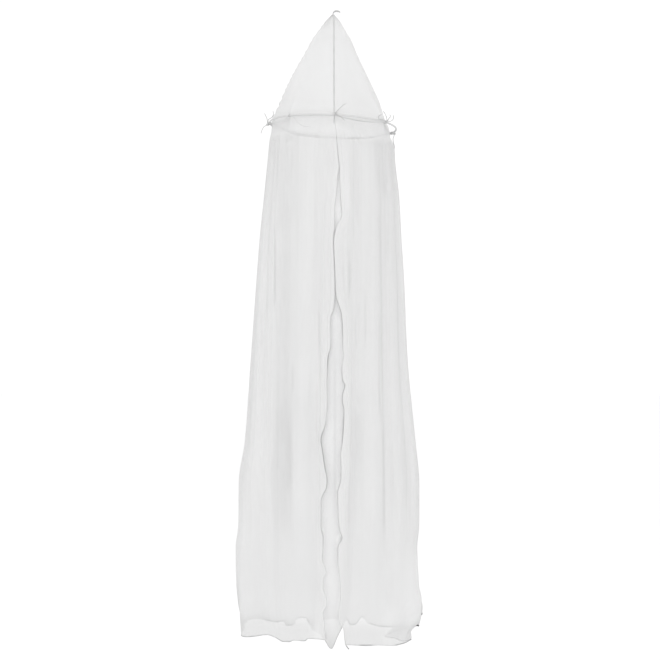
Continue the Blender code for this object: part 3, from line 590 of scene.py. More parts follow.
# ------------------------------------------------------------------------------ settings
class NetCanopySizes(bpy.types.PropertyGroup):
    """Sizes of the netting's mesh, its hems and the cords."""

    pitch: bpy.props.FloatProperty(
        name="Mesh Pitch", description="Distance from one hole of the netting to the next",
        default=0.0015, min=0.0005, max=0.02, precision=4, unit="LENGTH")
    pull: bpy.props.FloatProperty(
        name="Mesh Pull", description="How far the stretched knit moves its holes, in pitches",
        default=1.2, min=0.0, max=3.0, subtype="FACTOR")
    cover: bpy.props.FloatProperty(
        name="Thread Cover", description="Share of the hanging netting that is thread",
        default=0.88, min=0.1, max=1.0, subtype="FACTOR")
    sheer: bpy.props.FloatProperty(
        name="Waist Cover",
        description="Share of thread where the netting is stretched at the hoop",
        default=0.76, min=0.1, max=1.0, subtype="FACTOR")
    foot: bpy.props.FloatProperty(
        name="Foot Cover", description="Share of thread in the last stretch above the foot hem",
        default=0.82, min=0.1, max=1.0, subtype="FACTOR")
    hem: bpy.props.FloatProperty(
        name="Hem Width", description="Width of the rolled hems along the opening and the foot",
        default=0.0032, min=0.0005, max=0.03, precision=4, unit="LENGTH")
    seam: bpy.props.FloatProperty(
        name="Seam Width", description="Width of the closing seam of the cone",
        default=0.0040, min=0.0005, max=0.03, precision=4, unit="LENGTH")
    rod: bpy.props.FloatProperty(
        name="Rod Radius", description="Radius of the hoop's rod",
        default=0.0035, min=0.001, max=0.02, precision=4, unit="LENGTH")
    sleeve: bpy.props.FloatProperty(
        name="Sleeve Radius", description="Outer radius of the sleeve over the rod's two ends",
        default=0.0060, min=0.0036, max=0.02, precision=4, unit="LENGTH")


class NetCanopyFinish(bpy.types.PropertyGroup):
    """Colours of the cloths, the hoop and the cords."""

    # The cone's threads are a lighter copy of the skirt's, as painted light.
    cone: bpy.props.FloatVectorProperty(
        name="Cone Netting", description="Colour of the cone's threads",
        subtype="COLOR", size=3, min=0.0, max=1.0, default=(0.69, 0.69, 0.69))
    skirt: bpy.props.FloatVectorProperty(
        name="Skirt Netting", description="Colour of the skirt's threads",
        subtype="COLOR", size=3, min=0.0, max=1.0, default=(0.655, 0.655, 0.655))
    # The underlap's threads are a lighter copy of the skirt's, as painted light for the shade it
    # hangs in behind the front.
    underlap: bpy.props.FloatVectorProperty(
        name="Underlap Netting", description="Colour of the underlap's threads",
        subtype="COLOR", size=3, min=0.0, max=1.0, default=(0.76, 0.76, 0.76))
    # Grey as painted shade: the folded netting of hems, seams and the waist binding is as white as
    # the rest.
    hem: bpy.props.FloatVectorProperty(
        name="Hems", description="Colour of the folded and stitched netting in hems and seams",
        subtype="COLOR", size=3, min=0.0, max=1.0, default=(0.50, 0.50, 0.50))
    # The rod is darker than its light plastic, as painted shade.
    rod: bpy.props.FloatVectorProperty(
        name="Hoop", description="Colour of the hoop's plastic rod",
        subtype="COLOR", size=3, min=0.0, max=1.0, default=(0.57, 0.57, 0.57))
    sleeve: bpy.props.FloatVectorProperty(
        name="Sleeve", description="Colour of the sleeve on the hoop",
        subtype="COLOR", size=3, min=0.0, max=1.0, default=(0.86, 0.86, 0.86))
    cord: bpy.props.FloatVectorProperty(
        name="Ties", description="Colour of the tie cords",
        subtype="COLOR", size=3, min=0.0, max=1.0, default=(0.46, 0.46, 0.46))
    loop: bpy.props.FloatVectorProperty(
        name="Loop", description="Colour of the hanging loop",
        subtype="COLOR", size=3, min=0.0, max=1.0, default=(0.54, 0.54, 0.54))


class NetCanopyStudio(bpy.types.PropertyGroup):
    """The camera, the floor and the lights."""

    lens: bpy.props.FloatProperty(
        name="Lens", description="Focal length of the camera in millimetres",
        default=58.909, min=10.0, max=300.0, unit="CAMERA")
    distance: bpy.props.FloatProperty(
        name="Camera Distance", description="How far the camera stands in front of the axis",
        default=4.286, min=0.5, max=50.0, unit="LENGTH")
    level: bpy.props.FloatProperty(
        name="Camera Drop", description="How far the camera is below the crown of the loop",
        default=1.2678, min=-5.0, max=5.0, unit="LENGTH")
    floor: bpy.props.FloatProperty(
        name="Floor Drop", description="How far the floor is below the crown of the loop",
        default=2.95, min=2.5, max=5.0, unit="LENGTH")
    sky: bpy.props.FloatProperty(
        name="Room Light", description="Strength of the even white light from all around",
        default=1.05, min=0.0, max=5.0)
    overhead: bpy.props.FloatProperty(
        name="Overhead Light", description="Power of the wide soft light above",
        default=14.0, min=0.0, max=2000.0, unit="POWER")
    key: bpy.props.FloatProperty(
        name="Key Light", description="Power of the soft light in front",
        default=48.0, min=0.0, max=2000.0, unit="POWER")


# ------------------------------------------------------------------------------ formulas
def smooth(places, values, at):
    """Monotone cubic through rows: each piece is a Hermite cubic whose end slopes are the
    harmonic mean of the chords beside it, or zero at a turn. Values may have leading axes."""
    places = np.asarray(places, float)
    values = np.asarray(values, float)
    at = np.clip(np.asarray(at, float), places[0], places[-1])
    step = np.diff(places)
    slope = np.diff(values, axis=-1) / step
    before, after = slope[..., :-1], slope[..., 1:]
    same_way = before * after > 0
    level = np.zeros_like(values)
    level[..., 0] = slope[..., 0]
    level[..., -1] = slope[..., -1]
    mean = 2 * before * after / np.where(same_way, before + after, 1.0)
    level[..., 1:-1] = np.where(same_way, mean, 0.0)
    i = np.clip(np.searchsorted(places, at, side="right") - 1, 0, len(step) - 1)
    t = (at - places[i]) / step[i]
    start = ((1 + 2 * t) * (1 - t) ** 2 * values[..., i]
             + t * (1 - t) ** 2 * step[i] * level[..., i])
    end = (t * t * (3 - 2 * t) * values[..., i + 1]
           + t * t * (t - 1) * step[i] * level[..., i + 1])
    return start + end


def follow(pairs, at):
    """A table of pairs, place and value, smoothed, at the places `at`."""
    return smooth(*zip(*pairs), at)


def column(rows, name, places, at):
    """One named column of a table, smoothed, at the places `at`."""
    return smooth([getattr(row, places) for row in rows], [getattr(row, name) for row in rows], at)


def ease(share):
    """Soft step: 3 s squared less 2 s cubed, between 0 and 1."""
    share = np.clip(share, 0.0, 1.0)
    return share * share * (3 - 2 * share)


def rise(at, start, fade):
    """Soft step from 0 at the start to 1 a fade further on, or further back if it is negative."""
    return ease((at - start) / fade)


def window(at, start, end, fade_in, fade_out):
    """A rise from the start times a rise back from the end."""
    return rise(at, start, fade_in) * rise(at, end, -fade_out)


def bell(distance, width):
    """Bell curve: e to the minus square of distance over width."""
    return np.exp(-((distance / width) ** 2))


def bells(rows, at):
    """Sum of bells: each row is a height, a middle and a width."""
    return sum(height * bell(at - middle, width) for height, middle, width in rows)


def split_rows(split, above, below):
    """Falls from 0 to 1, so many above the split and so many from there down."""
    return np.concatenate([np.linspace(0, split, above, endpoint=False),
                           np.linspace(split, 1.0, below)])


def hoop_level(x, y):
    """Height of the hoop's plane: tilted down to the right and to the front."""
    return -HOOP_DROP - (x - AXIS_X) * math.tan(HOOP_ROLL) + y * math.tan(HOOP_PITCH)


def hoop_points(turn):
    """Points on the rod's middle: a circle of the hoop's radius laid on its plane."""
    angle = np.radians(np.asarray(turn, float))
    x = AXIS_X - HOOP_RADIUS * np.sin(angle)
    y = -HOOP_RADIUS * np.cos(angle)
    return np.stack([x, y, hoop_level(x, y)], axis=-1)


def hoop_frame(turn):
    """Outward, along and up directions at a turn, as rows."""
    angle = math.radians(turn)
    return np.array([[-math.sin(angle), -math.cos(angle), 0.0],
                     [-math.cos(angle), math.sin(angle), 0.0], [0.0, 0.0, 1.0]])


def waist(turn):
    """The waist seam: straight chords from tie to tie, each sagging as a parabola."""
    turns = [tie.turn for tie in TIES]
    turns = np.array([turns[-1] - 360.0] + turns + [turns[0] + 360.0])
    sags = np.array([TIES[-1].sag] + [tie.sag for tie in TIES])
    count = np.arange(len(turns))
    share = np.interp(turn, turns, count)
    span = np.clip(share.astype(int), 0, len(sags) - 1)
    within = share - span
    x = AXIS_X - WAIST_RADIUS * np.interp(share, count, np.sin(np.radians(turns)))
    y = -WAIST_RADIUS * np.interp(share, count, np.cos(np.radians(turns)))
    z = hoop_level(x, y) - 4 * sags[span] * within * (1 - within)
    return np.stack([x, y, z], axis=-1)


def section_at(drop):
    """The skirt's section at each drop, as a Section of arrays."""
    return Section(drop, *[column(SECTIONS, name, "drop", drop) for name in Section._fields[1:]])


def quarter_length(side, depth, corner):
    """Length of a quarter of a rounded rectangle: two straight runs and a quarter circle."""
    return (side - corner) + corner * math.pi / 2 + (depth - corner)


def plan(section, turn):
    """Points and outward directions on a rounded rectangle, by the share of each quarter's run."""
    left = (turn >= 0) & (turn < 180)
    front = (turn < 90) | (turn >= 270)
    side = np.where(left, section.left, section.right)
    depth = np.where(front, section.front, section.back)
    quarter = np.mod(turn, 90.0) / 90.0
    from_middle = np.where(left == front, quarter, 1 - quarter)
    run = from_middle * quarter_length(side, depth, section.corner)
    flat = side - section.corner
    bend = np.clip((run - flat) / section.corner, 0.0, math.pi / 2)
    arc = section.corner * math.pi / 2
    x = np.minimum(run, flat) + section.corner * np.sin(bend)
    y = depth - section.corner + section.corner * np.cos(bend) - np.maximum(run - flat - arc, 0.0)
    way_x = np.where(left, -1.0, 1.0)
    way_y = np.where(front, -1.0, 1.0)
    splay = np.where(left, 0.0, section.splay) * x / side * way_y * y / depth
    points = np.stack([AXIS_X + way_x * x * (1 + splay), way_y * y], axis=-1)
    return points, np.stack([way_x * np.sin(bend), way_y * np.cos(bend)], axis=-1)


def front_turn(x, section):
    """Turn of a point of the front at distance x right of the axis, between -90 and 90."""
    side = np.where(x < 0, section.left, section.right)
    return -90.0 * x / quarter_length(side, section.front, section.corner)


def below_waist(seam, base, fall):
    """Flat places that leave the waist seam and ease out to the base over the flare."""
    return seam + (base - seam) * ease(fall / FLARE)[:, None, None]


def skirt_base(place, fall):
    """The skirt with its main folds: rows at the falls, columns at the places. Each point lies on
    the rounded section at its turn, and is drawn in by each fold's cosine valley; above the flare
    it eases into the waist seam."""
    folds = np.arange(len(FOLDS) + 2)
    edge_drop = HOOP_DROP + (HEM_DROP - HOOP_DROP) * fall
    edge_section = section_at(edge_drop)
    left_edge = front_turn(follow(LEFT_EDGE, edge_drop), edge_section)
    right_edge = 360 + front_turn(follow(RIGHT_EDGE, edge_drop), edge_section)
    valleys = [fold.top + (fold.hem - fold.top) * fall for fold in FOLDS]
    turn = smooth(folds, np.stack([left_edge] + valleys + [right_edge], axis=-1), place)
    top_section = section_at(np.array(LEFT_EDGE[0][0]))
    left_top, right_top = [float(front_turn(np.array(edge[0][1]), top_section))
                           for edge in (LEFT_EDGE, RIGHT_EDGE)]
    tops = [left_top] + [fold.top for fold in FOLDS] + [360 + right_top]
    seam = waist(smooth(folds, tops, place))
    seam[:, 2] -= SEAM_GAP
    lifts = [LEFT_EDGE_LIFT] + [fold.lift for fold in FOLDS] + [RIGHT_EDGE_LIFT]
    hem = -HEM_DROP + smooth(folds, lifts, place)
    z = seam[:, 2] + (hem - seam[:, 2]) * fall[:, None]
    base, outward = plan(section_at(-z), turn)
    along = np.stack([outward[..., 1], -outward[..., 0]], axis=-1)
    for number, fold in enumerate(FOLDS, start=1):
        depth = smooth(DEPTH_FALLS, (0.0, fold.d1, fold.d2, fold.d3, fold.d4, fold.d5), fall)
        reach = np.clip(np.abs(place - number), 0.0, 0.5)
        valley = depth[:, None] * np.cos(math.pi * reach) ** (2 * fold.pinch)
        base = base + valley[..., None] * (fold.lean * along - outward)
    return np.concatenate([below_waist(seam[:, :2], base, fall), z[..., None]], axis=-1)


def cone_middle(fall):
    """x of the cone's middle, which leans left: a sine of pi times a power of the fall."""
    return AXIS_X - CONE_LEAN * np.sin(math.pi * fall ** LEAN_POWER)


def cone_base(turn, fall):
    """The cone: rings that spread from the gathered tip to the waist by the table of shares, with
    a sine of gathers under the tip and a soft lean to the left half way down."""
    seam = waist(turn)
    angle = np.radians(turn)
    ring = -WAIST_RADIUS * np.column_stack([np.sin(angle), np.cos(angle)])
    corners = rise(fall, CONE_ROUND, 1 - CONE_ROUND)[:, None, None]
    spread = follow(CONE_SPREAD, fall)[:, None, None]
    reach = (ring + (seam[:, :2] - AXIS[:2] - ring) * corners) * spread
    ripple = (GATHER_DEPTH * np.sin(GATHERS * angle)
              * (ease(fall / GATHER_FALLS[0]) * (1 - ease(fall / GATHER_FALLS[1])))[:, None])
    reach = reach + unit(reach) * ripple[..., None]
    x = reach[..., 0] + cone_middle(fall)[:, None]
    z = -TIP_DROP + (seam[:, 2] + TIP_DROP) * fall[:, None]
    return np.stack([x, reach[..., 1], z], axis=-1)


def underlap_base(share, fall):
    """The underlap: a strip behind the skirt's front, with one soft sine fold down its middle."""
    hem = follow(UNDERLAP_HEM, share)
    drop = HOOP_DROP + (hem - HOOP_DROP) * fall[:, None]
    left, right, behind = [column(UNDERLAP, name, "drop", drop) for name in Lap._fields[1:]]
    section = section_at(drop)
    turn = front_turn(left + (right - left) * share, section)
    base, outward = plan(section, np.mod(turn, 360.0))
    seam = waist(turn)
    z = seam[..., 2] - SEAM_GAP + (-hem - seam[..., 2] + SEAM_GAP) * fall[:, None]
    fold = UNDERLAP_FOLD * np.sin(math.pi * share) ** 2 * np.sin(math.pi * fall)[:, None]
    places = below_waist(seam[..., :2], base, fall) - outward * (behind + fold)[..., None]
    return np.concatenate([places, z[..., None]], axis=-1)


def outward_of(points, closed=False):
    """Unit normals of a grid: the step along a row crossed with the step down a column."""
    if closed:
        padded = np.concatenate([points[:, -1:], points, points[:, :1]], axis=1)
        along = (padded[:, 2:] - padded[:, :-2]) / 2
    else:
        along = np.gradient(points, axis=1)
    return unit(np.cross(along, np.gradient(points, axis=0)))


def unit(vectors):
    """The same directions with length 1."""
    return vectors / np.maximum(np.linalg.norm(vectors, axis=-1, keepdims=True), 1e-12)


def lengths_along(points):
    """Distance run along a row of points, from 0."""
    steps = np.linalg.norm(np.diff(points, axis=0), axis=-1)
    return np.concatenate([[0.0], np.cumsum(steps)])


def catmull(points, steps):
    """Catmull-Rom curve through given points, as whole arrays, `steps` to each span."""
    points = np.asarray(points, float)
    padded = np.vstack([2 * points[0] - points[1], points, 2 * points[-1] - points[-2]])
    a, b, c, d = (padded[k:len(padded) - 3 + k, None, :] for k in range(4))
    t = (np.arange(steps) / steps)[None, :, None]
    spans = 0.5 * (2 * b + (c - a) * t + (2 * a - 5 * b + 4 * c - d) * t ** 2
                   + (3 * b - a - 3 * c + d) * t ** 3)
    return np.vstack([spans.reshape(-1, 3), points[-1]])


# ------------------------------------------------------------------------------ making meshes
# A grid of points with its texture places: `ring` joins the last column to the first, `caps`
# closes both ends, and `values` holds the attributes of its points.
Part = namedtuple("Part", "points uv ring caps values")


def tube_part(path, out, wide, thick, sides=8, values=None):
    """A closed tube: at each point of the path, an ellipse of half sizes `wide` across and `thick`
    along the given outward direction. Its texture runs in metres along and around."""
    path = np.asarray(path, float)
    ahead = unit(np.gradient(path, axis=0))
    out = np.broadcast_to(np.asarray(out, float), path.shape)
    out = unit(out - ahead * np.sum(out * ahead, axis=-1, keepdims=True))
    side = np.cross(out, ahead)
    angle = np.linspace(0, 2 * math.pi, sides, endpoint=False)
    wide = np.broadcast_to(wide, len(path))[:, None, None]
    thick = np.broadcast_to(thick, len(path))[:, None, None]
    points = (path[:, None, :] + wide * np.cos(angle)[None, :, None] * side[:, None, :]
              + thick * np.sin(angle)[None, :, None] * out[:, None, :])
    girth = math.pi * float(np.mean(wide) + np.mean(thick))
    around = np.linspace(0, girth, sides + 1)
    uv = np.stack(np.meshgrid(around, lengths_along(path)), axis=-1)[..., ::-1]
    spread = {name: np.repeat(np.broadcast_to(value, len(path))[:, None], sides, axis=1)
              for name, value in (values or {}).items()}
    return Part(points, uv, True, True, spread)


def cord_part(path, out, radius, sides=CORD_SIDES):
    """A closed round tube along a path."""
    return tube_part(path, out, radius, radius, sides)


def hem_part(path, out, wide, thick, tone):
    """A rolled hem along a line of cloth points, lying flat on the cloth."""
    return tube_part(path, out, wide, thick, values={"tone": tone})


def quad_corners(rows, quads, wide):
    """Corner numbers of the quads in a grid: each place, the next one in its row, and the same two
    in the row below. A row of `wide` places starts over at its end."""
    row = np.arange(rows - 1)[:, None] * wide
    place = np.arange(quads)[None, :]
    after = (place + 1) % wide
    corners = [row + place, row + after, row + wide + after, row + wide + place]
    return np.stack(corners, axis=-1).reshape(-1)


def make_mesh(name, parts):
    """One mesh of several grids: quads from each row to the next, and a flat cap on each end of a
    tube. Texture places are in metres, and the values become point attributes."""
    points, loops, starts, places = [], [], [], []
    count = corner = 0
    for part in parts:
        rows, columns = part.points.shape[:2]
        wide = part.uv.shape[1]
        beside = columns if part.ring else columns - 1
        quads = quad_corners(rows, beside, columns)
        texture = quad_corners(rows, beside, wide)
        start = np.arange(len(quads) // 4) * 4
        if part.caps:
            first = np.arange(columns)[::-1]
            last = np.arange(columns)
            start = np.concatenate([start, [len(quads), len(quads) + columns]])
            quads = np.concatenate([quads, first, (rows - 1) * columns + last])
            texture = np.concatenate([texture, first, (rows - 1) * wide + last])
        points.append(part.points.reshape(-1, 3))
        loops.append(quads + count)
        starts.append(start + corner)
        places.append(part.uv.reshape(-1, 2)[texture])
        count += rows * columns
        corner += len(quads)
    mesh = bpy.data.meshes.new(name)
    mesh.vertices.add(count)
    mesh.vertices.foreach_set("co", np.concatenate(points).astype(np.float32).ravel())
    mesh.loops.add(corner)
    mesh.loops.foreach_set("vertex_index", np.concatenate(loops).astype(np.int32))
    mesh.polygons.add(sum(len(start) for start in starts))
    mesh.polygons.foreach_set("loop_start", np.concatenate(starts).astype(np.int32))
    mesh.update(calc_edges=True)
    layer = mesh.uv_layers.new(name="Cloth")
    layer.uv.foreach_set("vector", np.concatenate(places).astype(np.float32).ravel())
    for key in parts[0].values:
        value = np.concatenate([part.values[key].reshape(-1) for part in parts])
        attribute = mesh.attributes.new(key, "FLOAT", "POINT")
        attribute.data.foreach_set("value", value.astype(np.float32))
    mesh.validate()
    mesh.shade_smooth()
    return mesh


def add_piece(name, parts, finish, node=None):
    """A finished piece at the origin, riding with the canopy; it may stand for a solid."""
    made = bpy.data.objects.new(name, make_mesh(name, parts))
    bpy.context.scene.collection.objects.link(made)
    made.data.materials.append(finish)
    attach(made, "root")
    if node:
        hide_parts(node)
    return made


def add_cloth(name, points, uv, closed, cover, tone, finish, node):
    """A sheet of netting, which stands for a solid of its own: rows from top to bottom, columns in
    the order of the turns."""
    part = Part(points, uv, closed, False, {"cover": cover, "tone": tone})
    return add_piece(name, [part], finish, node)


# ------------------------------------------------------------------------------ finishes
def fill(tree, node, inputs):
    """Sets each number or colour on a node's socket, and links each socket to it."""
    for place, value in inputs.items():
        if isinstance(value, bpy.types.NodeSocket):
            tree.links.new(value, node.inputs[place])
        else:
            node.inputs[place].default_value = value


def add_node(tree, kind, inputs, **settings):
    """One shader node with its settings and inputs; returns its outputs."""
    node = tree.nodes.new(f"ShaderNode{kind}")
    for name, value in settings.items():
        setattr(node, name, value)
    fill(tree, node, inputs)
    return node.outputs


def math_node(tree, operation, *values):
    """One arithmetic node."""
    return add_node(tree, "Math", dict(enumerate(values)), operation=operation)["Value"]


def vector_node(tree, operation, *values):
    """One vector node between two vectors."""
    return add_node(tree, "VectorMath", dict(enumerate(values)), operation=operation)["Vector"]


def scaled(tree, vector, scale):
    """A vector or colour times an amount."""
    return add_node(tree, "VectorMath", {0: vector, "Scale": scale}, operation="SCALE")["Vector"]


def range_node(tree, value, source, target, kind="LINEAR"):
    """A value moved from one range to another."""
    return add_node(tree, "MapRange", {
        "Value": value, "From Min": source[0], "From Max": source[1],
        "To Min": target[0], "To Max": target[1]}, interpolation_type=kind)["Result"]


def noise_node(tree, place, scale, detail=2.0, output="Fac"):
    """Soft noise between 0 and 1."""
    return add_node(tree, "TexNoise", {"Vector": place, "Scale": scale, "Detail": detail})[output]


def weave_node(tree, place, scale, distortion):
    """Fine slanting waves."""
    return add_node(tree, "TexWave", {"Vector": place, "Scale": scale, "Distortion": distortion},
                    bands_direction="DIAGONAL")["Fac"]


def waves(tree, along, length):
    """A sine of the distance along, one wave to a length."""
    return math_node(tree, "SINE", math_node(tree, "MULTIPLY", along, 2 * math.pi / length))


def object_place(tree):
    """The place on the piece, in metres."""
    return add_node(tree, "TexCoord", {})["Object"]


def cloth_place(tree):
    """The place along and across the cloth or cord, in metres."""
    return add_node(tree, "UVMap", {}, uv_map="Cloth")["UV"]


def attribute_node(tree, name):
    """A point attribute's value."""
    return add_node(tree, "Attribute", {}, attribute_type="GEOMETRY", attribute_name=name)["Fac"]


def new_finish(name, color, roughness, sheen=0.0):
    """A Principled material and its node tree, ready for a pattern."""
    made = bpy.data.materials.new(name)
    made.use_nodes = True
    made.diffuse_color = (*color, 1.0)
    shader = made.node_tree.nodes["Principled BSDF"]
    fill(made.node_tree, shader, {"Base Color": (*color, 1.0), "Roughness": roughness,
                                  "Metallic": 0.0, "Sheen Weight": sheen})
    return made, made.node_tree, shader


def dress(tree, shader, color, tones, height, distance, strength):
    """The colour times each of the tones, and fine relief by the height."""
    shade = tones[0]
    for tone in tones[1:]:
        shade = math_node(tree, "MULTIPLY", shade, tone)
    bump = add_node(tree, "Bump", {"Height": height, "Distance": distance, "Strength": strength})
    fill(tree, shader, {"Base Color": scaled(tree, color, shade), "Normal": bump["Normal"]})


def netting_finish(name, color):
    """Knitted netting: round holes in a honeycomb. Two grids of cells, each 1 by root 3 pitches,
    lie half a cell apart; the distance to the nearer cell centre makes the hole, and a soft noise
    pulls the holes out of line as the knit stretches. The `cover` attribute is the share of thread,
    so the hole's radius is the root of 0.276 times the open share. The `tone` attribute, which
    carries painted light and shade, and two noises vary the threads."""
    sizes = bpy.context.scene.net_canopy_sizes
    made, tree, shader = new_finish(name, color, 0.85, 0.05)
    fill(tree, shader, {"Sheen Roughness": 0.5, "Specular IOR Level": 0.2})
    knit = scaled(tree, cloth_place(tree), 1 / sizes.pitch)
    pull = noise_node(tree, knit, 0.9, 0.0, "Color")
    knit = vector_node(tree, "ADD", knit, scaled(tree, pull, sizes.pull))
    root = math.sqrt(3)
    spots = []
    for shift in (CLEAR_OF_ZERO, CLEAR_OF_ZERO + 0.5):
        moved = vector_node(tree, "ADD", knit, (shift, shift * root, 0.0))
        inside = vector_node(tree, "MODULO", moved, (1.0, root, 1.0))
        from_middle = vector_node(tree, "SUBTRACT", inside, (0.5, root / 2, 0.0))
        flat = vector_node(tree, "MULTIPLY", from_middle, (1.0, 1.0, 0.0))
        spots.append(add_node(tree, "VectorMath", {0: flat}, operation="LENGTH")["Value"])
    near = math_node(tree, "MINIMUM", *spots)
    bare = math_node(tree, "SUBTRACT", 1.0, attribute_node(tree, "cover"))
    area = math_node(tree, "MAXIMUM", math_node(tree, "MULTIPLY", bare, HOLE_SHARE), 0.0)
    past_rim = math_node(tree, "SUBTRACT", near, math_node(tree, "SQRT", area))
    thread = range_node(tree, past_rim, (-HOLE_EDGE, HOLE_EDGE), (0.0, 1.0), "SMOOTHSTEP")
    fill(tree, shader, {"Alpha": thread})
    cloudy = range_node(tree, noise_node(tree, object_place(tree), 3.0), (0.3, 0.7), (0.99, 1.01))
    yarn = range_node(tree, noise_node(tree, knit, 1.7, 1.0), (0.2, 0.8), (0.96, 1.04))
    dress(tree, shader, color, [cloudy, yarn, attribute_node(tree, "tone")], thread, 0.0002, 0.15)
    return made


def hem_finish(name, color):
    """Rolled and stitched netting: a fine slanting weave and a line of stitches along the piece,
    whose low places are darker as painted shade, and the `tone` attribute, which carries painted
    light and shade."""
    made, tree, shader = new_finish(name, color, 0.8, 0.1)
    place = cloth_place(tree)
    split = add_node(tree, "SeparateXYZ", {"Vector": place})
    stitch = waves(tree, split["X"], STITCH_LENGTH)
    relief = math_node(tree, "MULTIPLY_ADD", stitch, 0.35, weave_node(tree, place, 320.0, 1.0))
    tone_and_painted_shading = range_node(tree, relief, (-0.35, 1.35), (0.90, 1.06))
    dress(tree, shader, color, [tone_and_painted_shading, attribute_node(tree, "tone")], relief, 0.0003, 0.5)
    return made


def cord_finish(name, color, pitch):
    """Twisted cord: slanting strands one pitch apart along the cord, darker in the grooves as
    painted shade.
    """
    made, tree, shader = new_finish(name, color, 0.75, 0.15)
    place = cloth_place(tree)
    split = add_node(tree, "SeparateXYZ", {"Vector": place})
    strand = waves(tree, math_node(tree, "ADD", split["X"], split["Y"]), pitch)
    groove_painted_shade = range_node(tree, strand, (-1.0, 1.0), (0.80, 1.10))
    fuzz = range_node(tree, noise_node(tree, place, 1500.0), (0.2, 0.8), (0.92, 1.06))
    dress(tree, shader, color, [groove_painted_shade, fuzz], strand, 0.0003, 0.6)
    return made


def loose_cord_finish(name, color):
    """Cord for the free ends: fine strands across, darker between them as painted shade, and a
    little fuzz, placed by object position.
    """
    made, tree, shader = new_finish(name, color, 0.75, 0.15)
    place = object_place(tree)
    weave = weave_node(tree, place, 260.0, 2.0)
    strand = range_node(tree, weave, (0.0, 1.0), (0.84, 1.08))
    fuzz = range_node(tree, noise_node(tree, place, 900.0), (0.2, 0.8), (0.93, 1.05))
    dress(tree, shader, color, [strand, fuzz], weave, 0.0002, 0.5)
    return made


def plastic_finish(name, color, roughness):
    """Extruded plastic: soft clouds, and small scuffs that vary the tone and the gloss."""
    made, tree, shader = new_finish(name, color, roughness)
    place = object_place(tree)
    scuff = noise_node(tree, place, 140.0, 4.0)
    cloud = range_node(tree, noise_node(tree, place, 9.0), (0.3, 0.7), (0.97, 1.03))
    rubbed = range_node(tree, scuff, (0.45, 0.75), (1.0, 0.94))
    dress(tree, shader, color, [cloud, rubbed], scuff, 0.0001, 0.2)
    dull = range_node(tree, scuff, (0.3, 0.7), (roughness - 0.08, roughness + 0.14))
    fill(tree, shader, {"Roughness": dull})
    return made


# -------------------------------------------------------------------------- surfaces of the pieces
def strip(line, x, drop, fade):
    """Strength of one line down the front: a bell across it times a window along it."""
    share = (drop - line.drop_top) / (line.drop_end - line.drop_top)
    middle = line.x_top + (line.x_end - line.x_top) * np.clip(share, 0, 1)
    return bell(x - middle, line.width) * window(share, 0, 1, fade, fade)


def creased(points, normal):
    """The front with its creases and soft bands: each is a bell across it times a soft window along
    it. A crease stands proud, closes the holes and gets painted shade, and a band sinks and gets
    painted shade, or painted light where its depth is negative. Returns the points, how much the
    holes close, and the tone."""
    x = points[..., 0] - AXIS_X
    drop = -points[..., 2]
    front = rise(points[..., 1], *CREASE_FRONT)
    push = np.zeros(x.shape)
    close = np.zeros(x.shape)
    tone = np.ones(x.shape)
    for crease in CREASES:
        ridge = strip(crease, x, drop, CREASE_FADE) * front
        push += crease.lift * ridge
        close += crease.close * ridge
        tone -= CREASE_PAINTED_SHADE * crease.close * ridge
    for band in PAINTED_SHADE_BANDS:
        shade = strip(band, x, drop, BAND_FADE) * front
        tone -= band.depth * shade
        push -= BAND_SINK * band.depth * shade
    return points + normal * push[..., None], close, tone


def ripples(place, fall):
    """Height of the ripples: two sines across the folds that slant down the fall. The first swells
    and dies in patches. Both fade out at the seam and the two edges, and calm above the foot."""
    across, start, down, slant = SWELL
    fall = fall[:, None]
    swell = np.sin(across * place + start) * np.sin(down * fall + slant * place)
    first, second = [height * np.sin(2 * math.pi * (place * count + start) + slant * fall)
                     for height, count, start, slant in RIPPLES]
    amount, low, fade = RIPPLE_SINK
    calm = ease(fall / RIPPLE_RISE) * (1 - amount * rise(fall, low, fade))
    edges = window(place, 0, len(FOLDS) + 1, RIPPLE_EDGE, RIPPLE_EDGE)
    return (first * swell + second) * calm * edges


def skirt_points(place, fall):
    """The skirt's surface with its fine detail: ripples, creases and the uneven hem line, to which
    its last stretch is drawn. Returns the points, how much the holes close, and the tone."""
    points = skirt_base(place, fall)
    normal = outward_of(points)
    points, close, tone = creased(points + normal * ripples(place, fall)[..., None], normal)
    x = points[-1, :, 0] - AXIS_X
    y, drop = points[-1, :, 1], -points[-1, :, 2]
    change = (rise(-y, *HEM_LINE_RISE) * (follow(FRONT_HEM, x) - drop)
              + rise(y, *HEM_LINE_RISE) * (follow(BACK_HEM, x) - drop))
    pleat = window(place, *PLEAT_SPAN)
    change = change * (1 - pleat) + pleat * (follow(PLEAT_HEM, place) - drop)
    outer = window(place, *TUCK_SPAN)
    points[..., 0] -= PLEAT_TUCK * outer[None, :] * bell(points[..., 2] + TUCK_DROP, TUCK_REACH)
    points[..., 2] -= rise(fall, 1 - HEM_FADE, HEM_FADE)[:, None] * change[None, :]
    return points, close, tone


